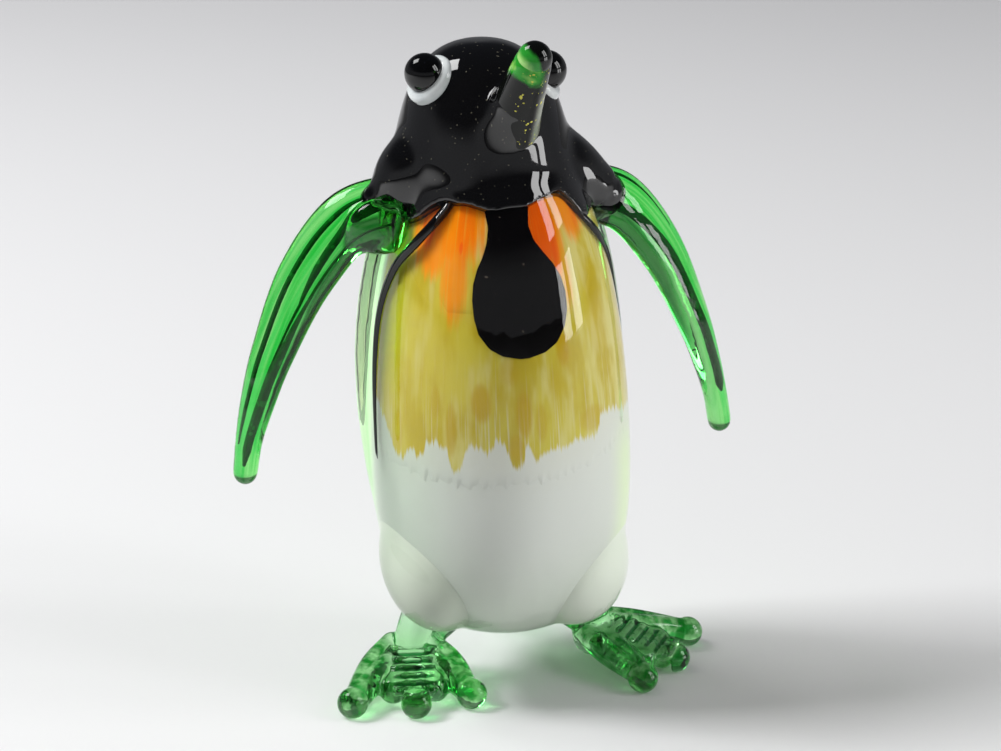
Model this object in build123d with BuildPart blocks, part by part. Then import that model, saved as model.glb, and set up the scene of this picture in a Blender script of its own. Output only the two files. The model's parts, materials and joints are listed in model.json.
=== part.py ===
from build123d import *
import os
from math import cos, radians, sin, tan

# Glass penguin figurine, worked from hot rods and gathers that are fused to each other.
# Millimetres, +Z up. It faces -Y, and left and right are the viewer's. The origin is on the
# floor, in the middle of the span of its wings and of its depth.

# Body: an egg of opal glass in a clear casing, on a spine that leans a little to the left
belly_radius = 15.6
belly_height = 29.0
floor_clearance = 8.0
body_top = 70.0
casing_wall = 1.4
spine_x = 2.3
spine_lean = 1.7
egg_end_share = 0.77
end_radius = 1.6
plug_radius = 2.4
egg_seam_angle = 0.0
core_seam_angle = 180.0
egg_lower_share = 0.30
egg_upper_share = 0.46

# Coloured films under the casing: a yellow breast, orange patches and a black bib
film_thickness = 0.4
film_fall = 7.4
film_half_angle = 82.0
hem_height = 32.3
hem_depth = 4.6
hem_teeth = 18
hem_shares = [0.55, 0.2, 0.9, 0.35, 0.6, 0.0, 0.75, 0.3]
bib_shift = 0.1
bib_half_width = 5.3
bib_fall = 17.2
bib_drop = 6.6
bib_flare = 7.8
bib_neck_half_width = 2.2
bib_neck_shift = -0.7
bib_end_share = 0.56
patch_half_width = 3.7
patch_half_height = 7.4
patch_spacing = 6.4
patch_fall = 12.6

# Black stringers in the casing on both sides, from under the head: shares of the body's height,
# and angles from the front
stringer_radius = 0.5
stringer_depth = 0.65
stringer_exit = 1.0
stringer_shares = [(0.955, 37.0), (0.91, 40.0), (0.86, 46.0), (0.815, 60.0), (0.75, 76.0),
                   (0.66, 86.0), (0.55, 87.0), (0.40, 84.0), (0.37, 83.0)]

# Mantle: a green coat over the back between the stringers
mantle_thickness = 2.1
mantle_half_angle = 99.0
mantle_shares = [(0.24, -0.3), (0.32, 0.25), (0.44, 0.75), (0.56, 1.0), (0.68, 1.05), (0.80, 1.0),
                 (0.87, 0.9)]

# Head and collar: a black gather set back from the spine, that rises from the collar
head_rise = 17.9
collar_fall = 8.4
collar_radius = 11.8
head_setback = 2.0
head_shift = -0.6
head_seam_angle = 140.0
neck_share = 0.83
neck_rise_share = 0.27
crown_share = 0.865

# Beak: a flecked green cone that points up, with a black drop on its end
beak_turn = 12.0
beak_pitch = 56.0
beak_length = 15.0
beak_root_radius = 4.3
beak_end_radius = 2.1
beak_root_rise = 5.4
beak_root_reach = 4.6
tip_radius = 1.95
tip_advance = 0.7

# Eyes: a white disc with a black ball on it, the right one a little lower
eye_rise_left = 14.0
eye_rise_right = 13.5
eye_azimuth = 68.0
eye_pitch = 40.0
eye_reach = 6.75
eye_white_radius = 3.1
eye_white_thickness = 1.1
eye_white_round = 0.6
pupil_radius = 2.25
pupil_rise = 0.7

# Wings: flattened rods with dark threads inside; shares of the reach and drop, and of both widths
wing_reach_left = 30.8
wing_reach_right = 28.0
wing_drop_left = 31.4
wing_drop_right = 30.2
shoulder_reach = 10.5
shoulder_fall = 9.2
wing_half_chord = 3.95
wing_half_thickness = 1.85
wing_turn = 38.0
wing_setback = 1.0
wing_tip_radius = 1.5
wing_shares = [(0.0, -0.01, 0.98, 1.0), (0.31, 0.05, 1.0, 1.0), (0.59, 0.26, 0.90, 0.9),
               (0.80, 0.54, 0.70, 0.8), (0.905, 0.73, 0.56, 0.74), (0.965, 0.87, 0.44, 0.73),
               (1.0, 1.0, 0.36, 0.76)]
thread_radius = 0.5
broad_thread_radius = 0.85
thread_shares_left = [-0.52, 0.0, 0.5]
thread_share_broad = -0.15
thread_share_right = 0.5
thread_end_stations = 2

# Shoulders: black gathers from the neck to the wings; shares of the reach, rise and radius
shoulder_radius = 5.6
shoulder_rise = 5.3
shoulder_shares = [(0.30, 1.0, 1.0), (0.72, 0.58, 0.83), (1.0, 0.26, 0.74), (1.22, 0.04, 0.68)]

# Knuckles: clear gathers in front of the wing roots
knuckle_radius = 2.6
knuckle_reach = 11.8
knuckle_fall = 2.2
knuckle_advance = 2.4

# Haunches: opal gathers on both hips
haunch_half_length = 10.4
haunch_radius = 6.2
haunch_reach = 8.0
haunch_height = 13.6
haunch_advance = 1.0
haunch_tilt = 40.0

# Legs, and feet turned outward about their ankles
stance_x = 2.1
ankle_reach = 11.7
ankle_setback = 1.8
ankle_radius = 2.9
ankle_height = 3.4
ankle_slim_share = 0.94
leg_top = 11.0
foot_turn_left = 8.5
foot_turn_right = 54.0
foot_length = 10.9
pad_half_width = 2.4
pad_heel_height = 5.6
pad_toe_height = 2.2
rib_count = 6
rib_pitch = 1.25
rib_radius = 0.42
toe_length_outer = 12.6
toe_length_inner = 11.3
toe_spread = 37.0
toe_radius = 1.6
toe_ball_radius = 1.9
toe_press = 0.2
toe_root_height = 4.0
toe_root_share = 0.5
toe_knuckle_share = 0.6

# Tail: a short drop behind, down to the floor
tail_reach = 15.6
tail_root_reach = 10.5
tail_root_height = 11.0
tail_half_width = 3.6
tail_half_thickness = 2.6
tail_tip_radius = 1.3

# Overrun of the cuts, and steps of the search for a radius
overrun = 5.0
halvings = 40

# Heights that follow the top of the body
film_top = body_top - film_fall
bib_height = body_top - bib_fall
patch_height = body_top - patch_fall
collar_height = body_top - collar_fall
head_top = collar_height + head_rise
beak_root_height = collar_height + beak_root_rise
eye_height_left = collar_height + eye_rise_left
eye_height_right = collar_height + eye_rise_right
shoulder_height = body_top - shoulder_fall
knuckle_height = shoulder_height - knuckle_fall

spine_y = -mantle_thickness / 2
spine_up = Vector(-sin(radians(spine_lean)), 0, cos(radians(spine_lean)))
spine_out = Vector(cos(radians(spine_lean)), 0, sin(radians(spine_lean)))
front = Vector(0, -1, 0)
right = Vector(1, 0, 0)
up = Vector(0, 0, 1)
sides = ((-1, "left"), (1, "right"))
width_limit = wing_reach_left + overrun

os.makedirs("parts", exist_ok=True)


# Point on the spine at a height, moved back by a setback
def spine_at(height, setback=0):
    return Vector(spine_x - height * tan(radians(spine_lean)), spine_y + setback, height)


# Point on the head's own axis at a height
def head_at(height):
    return spine_at(height, head_setback) + right * head_shift


# Level direction at an angle from the front, positive to the right
def level_way(azimuth):
    return right * sin(radians(azimuth)) + front * cos(radians(azimuth))


# Plane through the spine towards an angle from the front: X is the radius and Y the height
def spine_plane(azimuth=90.0, origin=spine_at(0)):
    out = spine_out * sin(radians(azimuth)) + front * cos(radians(azimuth))
    return Plane(origin=origin, x_dir=out, z_dir=out.cross(spine_up))


def spine_axis(origin=spine_at(0)):
    return Axis(origin, spine_up)


def save(piece, label):
    piece.label = label
    export_step(piece, "parts/" + label + ".step")


# Largest solid of a piece, without the slivers that a cut leaves beyond its neighbours
def main_solid(piece):
    return piece.solids().sort_by(SortBy.VOLUME)[-1]


def cut_away(solids):
    for solid in solids:
        add(solid, mode=Mode.SUBTRACT)


# Control points of the egg's lower and upper curves, shrunk by an inset all round
def egg_controls(inset):
    radius = belly_radius - inset
    low = floor_clearance + inset
    high = body_top - inset
    lower = [(end_radius, low), (radius * egg_end_share, low),
             (radius, low + (belly_height - low) * egg_lower_share), (radius, belly_height)]
    upper = [(radius, belly_height), (radius, belly_height + (high - belly_height) * egg_upper_share),
             (radius * egg_end_share, high), (end_radius, high)]
    return lower, upper


def egg_face(inset, mode=Mode.ADD):
    lower, upper = egg_controls(inset)
    with BuildSketch(mode=mode) as face:
        with BuildLine():
            Bezier(*lower)
            Bezier(*upper)
            Polyline(upper[-1], (0, upper[-1][1]), (0, lower[0][1]), lower[0])
        make_face()
    return face.sketch


def egg(inset, seam_angle):
    with BuildPart() as solid:
        with BuildSketch(spine_plane(seam_angle)):
            add(egg_face(inset, Mode.PRIVATE))
        revolve(axis=spine_axis())
    return solid.part


# Radius of the inset egg at a height, found by halving the span of the curve that holds it
def egg_radius(height, inset=0):
    lower, upper = egg_controls(inset)
    low, high = (0.0, 1.0)
    points = lower if height < belly_height else upper
    for _ in range(halvings):
        middle = (low + high) / 2
        rest = 1 - middle
        weights = (rest ** 3, 3 * rest ** 2 * middle, 3 * rest * middle ** 2, middle ** 3)
        found = sum(weight * point[1] for weight, point in zip(weights, points))
        if found < height:
            low = middle
        else:
            high = middle
    return sum(weight * point[0] for weight, point in zip(weights, points))


# Whole body, and its core, whose top end comes up through the casing
egg_solid = egg(0, egg_seam_angle)
with BuildPart() as core_block:
    add(egg(casing_wall, core_seam_angle))
    with BuildSketch(Plane(origin=spine_at(body_top), z_dir=spine_up)):
        Circle(plug_radius)
    extrude(amount=-casing_wall * 2)
    add(egg_solid, mode=Mode.INTERSECT)
core_solid = core_block.part

# Front sheet under the casing, with a ragged hem, that the films are cut from. It is first made
# as thick as the casing and the film, then brought down to the core's surface.
hem_step = width_limit / hem_teeth
hem_points = []
for tooth in range(hem_teeth * 2 + 1):
    share = hem_shares[tooth % len(hem_shares)]
    hem_points.append((-width_limit + tooth * hem_step, hem_height + hem_depth * share))
front_plane = Plane(origin=(0, spine_y, 0), x_dir=right, z_dir=front)

with BuildPart() as sheet_block:
    with BuildSketch(spine_plane(-film_half_angle)):
        add(egg_face(0, Mode.PRIVATE))
        add(egg_face(casing_wall + film_thickness, Mode.PRIVATE), mode=Mode.SUBTRACT)
        with Locations((0, hem_height)):
            Rectangle(belly_radius, film_top - hem_height, align=(Align.MIN, Align.MIN),
                      mode=Mode.INTERSECT)
    revolve(axis=spine_axis(), revolution_arc=film_half_angle * 2)
    with BuildSketch(front_plane):
        with BuildLine():
            Polyline(*hem_points, (width_limit, 0), (-width_limit, 0), close=True)
        make_face()
    extrude(amount=width_limit, mode=Mode.SUBTRACT)

with BuildPart() as front_sheet:
    add(sheet_block.part)
    add(core_solid, mode=Mode.INTERSECT)

with BuildPart() as body_core:
    add(core_solid)
    add(sheet_block.part, mode=Mode.SUBTRACT)
save(body_core.part, "body_core")

bib_x = spine_at(bib_height).X + bib_shift
bib_plane = Plane(origin=(bib_x, spine_y, bib_height), x_dir=right, z_dir=front)
with BuildPart() as bib_prism:
    with BuildSketch(bib_plane):
        with BuildLine():
            for side, name in sides:
                neck_x = bib_neck_shift + side * bib_neck_half_width
                bulb_x = side * bib_half_width
                Polyline((bib_neck_shift, head_top - bib_height), (neck_x, head_top - bib_height),
                         (neck_x, bib_flare))
                Bezier((neck_x, bib_flare), (neck_x, bib_flare * bib_end_share),
                       (bulb_x, bib_flare * bib_end_share), (bulb_x, 0))
                Bezier((bulb_x, 0), (bulb_x, -bib_drop * bib_end_share),
                       (bulb_x * bib_end_share, -bib_drop), (0, -bib_drop))
        make_face()
    extrude(amount=width_limit)

with BuildPart() as throat_bib:
    add(front_sheet.part)
    add(bib_prism.part, mode=Mode.INTERSECT)
save(throat_bib.part, "throat_bib")

patch_prisms = []
for side, name in sides:
    patch_centre = Vector(bib_x + side * patch_spacing, spine_y, patch_height)
    with BuildPart() as patch_prism:
        with BuildSketch(Plane(origin=patch_centre, x_dir=right, z_dir=front)):
            Ellipse(patch_half_width, patch_half_height)
        extrude(amount=width_limit)
        add(bib_prism.part, mode=Mode.SUBTRACT)
    with BuildPart() as orange_patch:
        add(front_sheet.part)
        add(patch_prism.part, mode=Mode.INTERSECT)
    save(orange_patch.part, "orange_patch_" + name)
    patch_prisms.append(patch_prism.part)

with BuildPart() as breast_yellow:
    add(front_sheet.part)
    cut_away([bib_prism.part] + patch_prisms)
save(breast_yellow.part, "breast_yellow")

# Head and collar, over the top of the body
with BuildPart() as head:
    head_height = head_top - collar_height
    with BuildSketch(spine_plane(head_seam_angle, head_at(0))):
        with BuildLine():
            Line((0, collar_height), (collar_radius, collar_height))
            Bezier((collar_radius, collar_height),
                   (collar_radius * neck_share, collar_height + head_height * neck_rise_share),
                   (collar_radius * crown_share, head_top), (0, head_top))
            Line((0, head_top), (0, collar_height))
        make_face()
    revolve(axis=spine_axis(head_at(0)))
    add(egg_solid, mode=Mode.SUBTRACT)
save(head.part, "head")

# Side stringers, inside the casing's wall
stringers = []
for side, name in sides:
    stringer_points = []
    for share, azimuth in stringer_shares:
        height = floor_clearance + (body_top - floor_clearance) * share
        reach = egg_radius(height, stringer_depth)
        if not stringer_points:
            reach = egg_radius(height) + stringer_exit
        stringer_points.append(spine_at(height) + level_way(side * azimuth) * reach)
    with BuildPart() as side_stringer:
        with BuildLine() as stringer_path:
            Spline(*stringer_points)
        with BuildSketch(Plane(origin=stringer_path.line @ 0, z_dir=stringer_path.line % 0)):
            Circle(stringer_radius)
        sweep(path=stringer_path.line)
        cut_away([head.part])
    stringers.append(main_solid(side_stringer.part))
    save(stringers[-1], "side_stringer_" + name)

with BuildPart() as body_casing:
    add(egg_solid)
    cut_away([core_solid] + stringers)
save(body_casing.part, "body_casing")

# Mantle
with BuildPart() as back_mantle:
    mantle_points = []
    for share, thick in mantle_shares:
        height = floor_clearance + (body_top - floor_clearance) * share
        mantle_points.append((egg_radius(height) + mantle_thickness * thick, height))
    inner_radius = egg_radius(mantle_points[-1][1]) - casing_wall
    with BuildSketch(spine_plane(mantle_half_angle)):
        with BuildLine():
            Spline(*mantle_points)
            Polyline(mantle_points[-1], (inner_radius, mantle_points[-1][1]),
                     (inner_radius, mantle_points[0][1]), mantle_points[0])
        make_face()
    revolve(axis=spine_axis(), revolution_arc=360 - mantle_half_angle * 2)
    cut_away([egg_solid, head.part])
save(back_mantle.part, "back_mantle")
body_solids = [egg_solid, head.part, back_mantle.part]

# Beak and the drop on its end
beak_level = level_way(beak_turn)
beak_way = beak_level * cos(radians(beak_pitch)) + up * sin(radians(beak_pitch))
beak_root = head_at(beak_root_height) + beak_level * beak_root_reach
beak_end = beak_root + beak_way * beak_length
with BuildPart() as beak_tip:
    with Locations(beak_end + beak_way * tip_advance):
        Sphere(tip_radius)
save(beak_tip.part, "beak_tip")

with BuildPart() as beak:
    with BuildSketch(Plane(origin=beak_root, z_dir=beak_way)):
        Circle(beak_root_radius)
    with BuildSketch(Plane(origin=beak_end, z_dir=beak_way)):
        Circle(beak_end_radius)
    loft()
    with Locations(beak_end):
        Sphere(beak_end_radius)
    cut_away([head.part, egg_solid, beak_tip.part])
save(beak.part, "beak")

# Eyes
for side, name in sides:
    eye_level = level_way(side * eye_azimuth)
    eye_way = eye_level * cos(radians(eye_pitch)) + up * sin(radians(eye_pitch))
    eye_height = eye_height_left if side < 0 else eye_height_right
    eye_root = head_at(eye_height) + eye_level * eye_reach
    pupil_centre = eye_root + eye_way * (eye_white_thickness + pupil_rise)
    with BuildPart() as eye_pupil:
        with Locations(Plane(origin=pupil_centre, z_dir=eye_way)):
            Sphere(pupil_radius)
        cut_away([head.part])
    save(eye_pupil.part, "eye_pupil_" + name)

    with BuildPart() as eye_white:
        across = level_way(side * eye_azimuth + 90)
        with BuildSketch(Plane(origin=eye_root, x_dir=across, z_dir=across.cross(eye_way))) as disc:
            with Locations((0, eye_white_thickness)):
                Rectangle(eye_white_radius, eye_white_radius + eye_white_thickness,
                          align=(Align.MIN, Align.MAX))
            fillet(disc.vertices().sort_by(Axis(eye_root, eye_way)).sort_by(Axis(eye_root, across))[-1],
                   eye_white_round)
            with Locations((0, eye_white_thickness + pupil_rise)):
                Circle(pupil_radius, mode=Mode.SUBTRACT)
        revolve(axis=Axis(eye_root, eye_way))
        cut_away([head.part])
    save(eye_white.part, "eye_white_" + name)


# Centre, tangent, chord way, half chord and half thickness at each station of a wing
def wing_stations(side):
    reach = wing_reach_left if side < 0 else wing_reach_right
    drop = wing_drop_left if side < 0 else wing_drop_right
    centres = []
    for out_share, drop_share, _, _ in wing_shares:
        height = shoulder_height - drop * drop_share
        out = shoulder_reach + (reach - shoulder_reach) * out_share
        centres.append(spine_at(height, wing_setback) + right * side * out)
    stations = []
    for index, centre in enumerate(centres):
        before = centres[max(index - 1, 0)]
        after = centres[min(index + 1, len(centres) - 1)]
        tangent = (after - before).normalized()
        edge_way = Vector(-tangent.Z * side, 0, tangent.X * side)
        chord_way = edge_way * cos(radians(wing_turn)) - front * sin(radians(wing_turn))
        half_chord = wing_half_chord * wing_shares[index][2]
        half_thickness = wing_half_thickness * wing_shares[index][3]
        stations.append((centre, tangent, chord_way, half_chord, half_thickness))
    return stations


# Thread inside a wing, at a share of its half chord from the middle, short of the last stations
def wing_thread(stations, chord_share, radius, others):
    points = [centre + chord_way * half_chord * chord_share
              for centre, _, chord_way, half_chord, _ in stations[:-thread_end_stations]]
    with BuildPart() as thread:
        with BuildLine() as thread_path:
            Spline(*points)
        with BuildSketch(Plane(origin=thread_path.line @ 0, z_dir=thread_path.line % 0)):
            Circle(radius)
        sweep(path=thread_path.line)
        cut_away(others)
    return main_solid(thread.part)


# Shoulders, threads, wings and knuckles
thread_plans = {"left": [(share, thread_radius) for share in thread_shares_left],
                "right": [(thread_share_broad, broad_thread_radius), (thread_share_right, thread_radius)]}
for side, name in sides:
    with BuildPart() as shoulder_gather:
        slope = (right * side * shoulder_reach - up * shoulder_rise).normalized()
        for reach_share, rise_share, radius_share in shoulder_shares:
            height = shoulder_height + shoulder_rise * rise_share
            centre = spine_at(height, wing_setback) + right * side * shoulder_reach * reach_share
            with BuildSketch(Plane(origin=centre, z_dir=slope)):
                Circle(shoulder_radius * radius_share)
        loft()
        cut_away(body_solids)
    save(shoulder_gather.part, "shoulder_gather_" + name)

    stations = wing_stations(side)
    threads = []
    for number, (chord_share, radius) in enumerate(thread_plans[name], start=1):
        threads.append(wing_thread(stations, chord_share, radius, body_solids + [shoulder_gather.part]))
        save(threads[-1], "wing_thread_" + name + "_" + str(number))

    with BuildPart() as wing:
        for centre, tangent, chord_way, half_chord, half_thickness in stations:
            with BuildSketch(Plane(origin=centre, x_dir=chord_way, z_dir=tangent)):
                Ellipse(half_chord, half_thickness)
        loft()
        with Locations(stations[-1][0]):
            Sphere(wing_tip_radius)
        cut_away(body_solids + [shoulder_gather.part] + threads)
    save(wing.part, "wing_" + name)

    with BuildPart() as wing_knuckle:
        knuckle_centre = spine_at(knuckle_height, -knuckle_advance) + right * side * knuckle_reach
        with Locations(knuckle_centre):
            Sphere(knuckle_radius)
        cut_away(body_solids + [shoulder_gather.part, wing.part] + threads)
    save(wing_knuckle.part, "wing_knuckle_" + name)


# Toe from the ankle to a ball on the floor, or the ball alone at the end of the pad
def make_toe(ankle, azimuth, length, has_rod, others):
    toe_way = level_way(azimuth)
    ball_height = toe_ball_radius - toe_press
    ball_centre = ankle + toe_way * length + up * ball_height
    with BuildPart() as toe:
        if has_rod:
            start = ankle + toe_way * ankle_radius * toe_root_share + up * toe_root_height
            middle = ankle + toe_way * length * toe_knuckle_share + up * (toe_root_height + ball_height) / 2
            with BuildLine() as toe_path:
                Spline(start, middle, ball_centre)
            with BuildSketch(Plane(origin=toe_path.line @ 0, z_dir=toe_path.line % 0)):
                Circle(toe_radius)
            sweep(path=toe_path.line)
        with Locations(ball_centre):
            Sphere(toe_ball_radius)
        with BuildSketch(Plane.XY):
            Circle(width_limit * 2)
        extrude(amount=-overrun, mode=Mode.SUBTRACT)
        cut_away(others)
    return toe.part


# Haunches, legs and feet
for side, name in sides:
    haunch_way = front * sin(radians(haunch_tilt)) - up * cos(radians(haunch_tilt))
    haunch_centre = spine_at(haunch_height, -haunch_advance) + right * side * haunch_reach
    with BuildPart() as haunch:
        with BuildSketch(Plane(origin=haunch_centre, x_dir=haunch_way, z_dir=right)):
            Ellipse(haunch_half_length, haunch_radius)
            Rectangle(haunch_half_length * 2, haunch_radius, align=(Align.CENTER, Align.MIN),
                      mode=Mode.INTERSECT)
        revolve(axis=Axis(haunch_centre, haunch_way))
        cut_away([egg_solid])
    save(haunch.part, "haunch_" + name)

    ankle = Vector(stance_x + side * ankle_reach, spine_y + ankle_setback, 0)
    with BuildPart() as leg:
        for height, share in ((0, ankle_slim_share), (ankle_height, ankle_slim_share), (leg_top, 1)):
            with BuildSketch(Plane(origin=ankle + up * height)):
                Circle(ankle_radius * share)
        loft()
        cut_away([haunch.part, egg_solid])
    save(leg.part, "leg_" + name)

    foot_turn = -foot_turn_left if side < 0 else foot_turn_right
    foot_way = level_way(foot_turn)
    foot_side = foot_way.cross(up)
    with BuildPart() as foot_pad:
        near_side = ankle - foot_side * pad_half_width
        with BuildSketch(Plane(origin=near_side, x_dir=foot_way, z_dir=foot_side)):
            with BuildLine():
                Polyline((0, 0), (foot_length, 0), (foot_length, pad_toe_height),
                         (0, pad_heel_height), close=True)
            make_face()
            for rib in range(rib_count):
                along = foot_length - rib_pitch * (rib + 1)
                fall = (pad_heel_height - pad_toe_height) * along / foot_length
                with Locations((along, pad_heel_height - fall)):
                    Circle(rib_radius)
        extrude(amount=pad_half_width * 2)
        cut_away([leg.part, haunch.part, egg_solid])
    save(foot_pad.part, "foot_pad_" + name)

    foot_solids = [leg.part, haunch.part, egg_solid, foot_pad.part]
    for toe_name, turn, length in (("middle", 0, foot_length), ("outer", side, toe_length_outer),
                                   ("inner", -side, toe_length_inner)):
        toe = make_toe(ankle, foot_turn + toe_spread * turn, length, turn != 0, foot_solids)
        save(toe, "toe_" + toe_name + "_" + name)
        foot_solids.append(toe)

# Tail
with BuildPart() as tail:
    root_centre = spine_at(tail_root_height, tail_root_reach)
    tip_centre = spine_at(tail_tip_radius, tail_reach)
    tail_way = (tip_centre - root_centre).normalized()
    with BuildSketch(Plane(origin=root_centre, x_dir=right, z_dir=tail_way)):
        Ellipse(tail_half_width, tail_half_thickness)
    with BuildSketch(Plane(origin=tip_centre, x_dir=right, z_dir=tail_way)):
        Circle(tail_tip_radius)
    loft()
    with Locations(tip_centre):
        Sphere(tail_tip_radius)
    cut_away([egg_solid])
save(tail.part, "tail")
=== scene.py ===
import json
import math
import bpy
import numpy as np
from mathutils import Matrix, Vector

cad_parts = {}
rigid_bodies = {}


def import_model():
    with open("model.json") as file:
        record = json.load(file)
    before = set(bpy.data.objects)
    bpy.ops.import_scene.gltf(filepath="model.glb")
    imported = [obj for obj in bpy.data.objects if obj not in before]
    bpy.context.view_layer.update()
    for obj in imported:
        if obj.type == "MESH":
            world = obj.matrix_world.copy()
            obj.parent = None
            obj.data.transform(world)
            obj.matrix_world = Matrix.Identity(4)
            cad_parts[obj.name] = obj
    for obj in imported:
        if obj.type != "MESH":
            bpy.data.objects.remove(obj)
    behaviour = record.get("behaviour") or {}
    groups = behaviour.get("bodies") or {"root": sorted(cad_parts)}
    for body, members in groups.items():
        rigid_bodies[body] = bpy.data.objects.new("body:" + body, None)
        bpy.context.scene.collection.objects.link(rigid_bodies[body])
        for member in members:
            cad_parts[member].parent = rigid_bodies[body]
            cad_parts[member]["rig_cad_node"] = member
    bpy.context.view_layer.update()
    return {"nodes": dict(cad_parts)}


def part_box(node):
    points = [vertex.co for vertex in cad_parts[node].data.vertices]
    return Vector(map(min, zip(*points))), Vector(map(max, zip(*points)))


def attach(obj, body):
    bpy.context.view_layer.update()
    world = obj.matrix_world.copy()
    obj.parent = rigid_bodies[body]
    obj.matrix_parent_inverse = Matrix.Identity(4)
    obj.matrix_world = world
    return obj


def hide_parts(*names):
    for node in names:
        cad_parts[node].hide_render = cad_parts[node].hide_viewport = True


# Lamp-worked glass penguin. It faces -Y; left and right are the viewer's. Sizes in the
# dictionaries are millimetres and degrees, and meshes are made in metres.
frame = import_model()
scene = bpy.context.scene
nodesOf = frame["nodes"]
mm = 0.001
print("frame loaded:", len(nodesOf), "nodes")


def deg(angle):
    return math.radians(angle)


def unit(vector):
    vector = np.asarray(vector, float)
    return vector / np.linalg.norm(vector)


def easeStep(low, high, value):
    share = np.clip((np.asarray(value, float) - low) / (high - low), 0, 1)
    return share * share * (3 - 2 * share)


def bezier(points, count):
    t = np.linspace(0, 1, count)[:, None]
    a, b, c, d = (np.asarray(p, float) for p in points)
    return (1 - t) ** 3 * a + 3 * (1 - t) ** 2 * t * b + 3 * (1 - t) * t ** 2 * c + t ** 3 * d


# Smooth line through points, spaced evenly by parameter
def smoothLine(points, count):
    points = np.asarray(points, float)
    steps = np.linspace(0, len(points) - 1, count)
    line = []
    for step in steps:
        index = min(int(step), len(points) - 2)
        t = step - index
        b, c = points[index], points[index + 1]
        a = points[index - 1] if index > 0 else 2 * b - c
        d = points[index + 2] if index + 2 < len(points) else 2 * c - b
        line.append(0.5 * (2 * b + (c - a) * t + (2 * a - 5 * b + 4 * c - d) * t * t
                           + (3 * b - a - 3 * c + d) * t ** 3))
    return np.array(line)


def meshObject(name, points, faces):
    mesh = bpy.data.meshes.new(name)
    mesh.from_pydata([tuple(p) for p in np.asarray(points) * mm], [], faces)
    mesh.validate()
    mesh.update()
    obj = bpy.data.objects.new(name, mesh)
    scene.collection.objects.link(obj)
    obj.data.polygons.foreach_set("use_smooth", [True] * len(mesh.polygons))
    return obj


# Closed skin over rings of equal count, capped at both ends
def skinRings(name, rings):
    rings = np.asarray(rings, float)
    rows, count = rings.shape[:2]
    points = list(rings.reshape(-1, 3)) + [rings[0].mean(0), rings[-1].mean(0)]
    faces = []
    for row in range(rows - 1):
        for i in range(count):
            j = (i + 1) % count
            a = row * count
            faces.append((a + i, a + j, a + count + j, a + count + i))
    first, last = rows * count, rows * count + 1
    for i in range(count):
        j = (i + 1) % count
        faces.append((first, j, i))
        faces.append((last, (rows - 1) * count + i, (rows - 1) * count + j))
    return meshObject(name, points, faces)


def turnsOf(around):
    return np.linspace(0, 2 * math.pi, around, endpoint=False)


# Frames along a line that don't twist
def lineFrames(line, hint=(0, 1, 0.1)):
    tangents = np.gradient(line, axis=0)
    tangents /= np.linalg.norm(tangents, axis=1)[:, None]
    side = unit(np.cross(tangents[0], hint))
    sides = []
    for tangent in tangents:
        side = unit(side - tangent * side.dot(tangent))
        sides.append(side)
    sides = np.array(sides)
    return tangents, sides, np.cross(tangents, sides)


# Round rod along a line, with round ends
def rod(name, line, radii, around=20):
    line, radii = np.asarray(line, float), np.asarray(radii, float)
    tangents, sides, tops = lineFrames(line)
    rings, turns = [], turnsOf(around)

    def ring(centre, index, radius):
        return [centre + sides[index] * math.cos(t) * radius + tops[index] * math.sin(t) * radius
                for t in turns]

    for end in (80, 60, 40, 20):
        rings.append(ring(line[0] - tangents[0] * radii[0] * math.sin(deg(end)), 0,
                          radii[0] * math.cos(deg(end))))
    for index, centre in enumerate(line):
        rings.append(ring(centre, index, radii[index]))
    for end in (20, 40, 60, 80):
        rings.append(ring(line[-1] + tangents[-1] * radii[-1] * math.sin(deg(end)), -1,
                          radii[-1] * math.cos(deg(end))))
    return skinRings(name, rings)


def ball(name, centre, radii, across=(1, 0, 0), along=(0, 0, 1), rows=28, around=40):
    along = unit(along)
    across = unit(np.asarray(across, float) - along * np.dot(across, along))
    third = np.cross(along, across)
    rings = [[np.asarray(centre, float) + along * radii[2] * math.sin(deg(latitude))
              + (across * radii[0] * math.cos(t) + third * radii[1] * math.sin(t))
              * math.cos(deg(latitude)) for t in turnsOf(around)]
             for latitude in np.linspace(-86, 86, rows)]
    return skinRings(name, rings)


# Turned shape: profile of (radius, advance) about a way
def turned(name, origin, way, profile, around=48):
    way = unit(way)
    across = unit(np.cross(way, (0.3, 0.2, 0.93)))
    third = np.cross(way, across)
    rings = [[np.asarray(origin, float) + way * advance
              + (across * math.cos(t) + third * math.sin(t)) * radius for t in turnsOf(around)]
             for radius, advance in profile]
    return skinRings(name, rings)


def soften(obj, rounds, group=""):
    modifier = obj.modifiers.new("soften", "SMOOTH")
    modifier.factor, modifier.iterations, modifier.vertex_group = 0.5, rounds, group


# Melts several closed shapes into one smooth skin, as the torch does; where(points) gives the
# share of a second, heavier softening
def melt(name, sources, voxel, rounds, where=None, heavyRounds=0):
    points, faces = [], []
    for source in sources:
        start = len(points)
        points += [tuple(v.co) for v in source.data.vertices]
        faces += [tuple(start + i for i in p.vertices) for p in source.data.polygons]
        if "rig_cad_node" not in source:
            bpy.data.objects.remove(source)
    mesh = bpy.data.meshes.new(name)
    mesh.from_pydata(points, [], faces)
    obj = bpy.data.objects.new(name, mesh)
    scene.collection.objects.link(obj)
    remesh = obj.modifiers.new("melt", "REMESH")
    remesh.mode, remesh.voxel_size, remesh.use_smooth_shade = "VOXEL", voxel * mm, True
    soften(obj, rounds)
    keepShape(obj, name)
    if where:
        group = obj.vertex_groups.new(name="crease")
        for index, share in enumerate(where(pointsOf(obj))):
            if share > 0.001:
                group.add([index], float(share), "REPLACE")
        soften(obj, heavyRounds, "crease")
        keepShape(obj, name)
        obj.vertex_groups.clear()
    return obj


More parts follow.
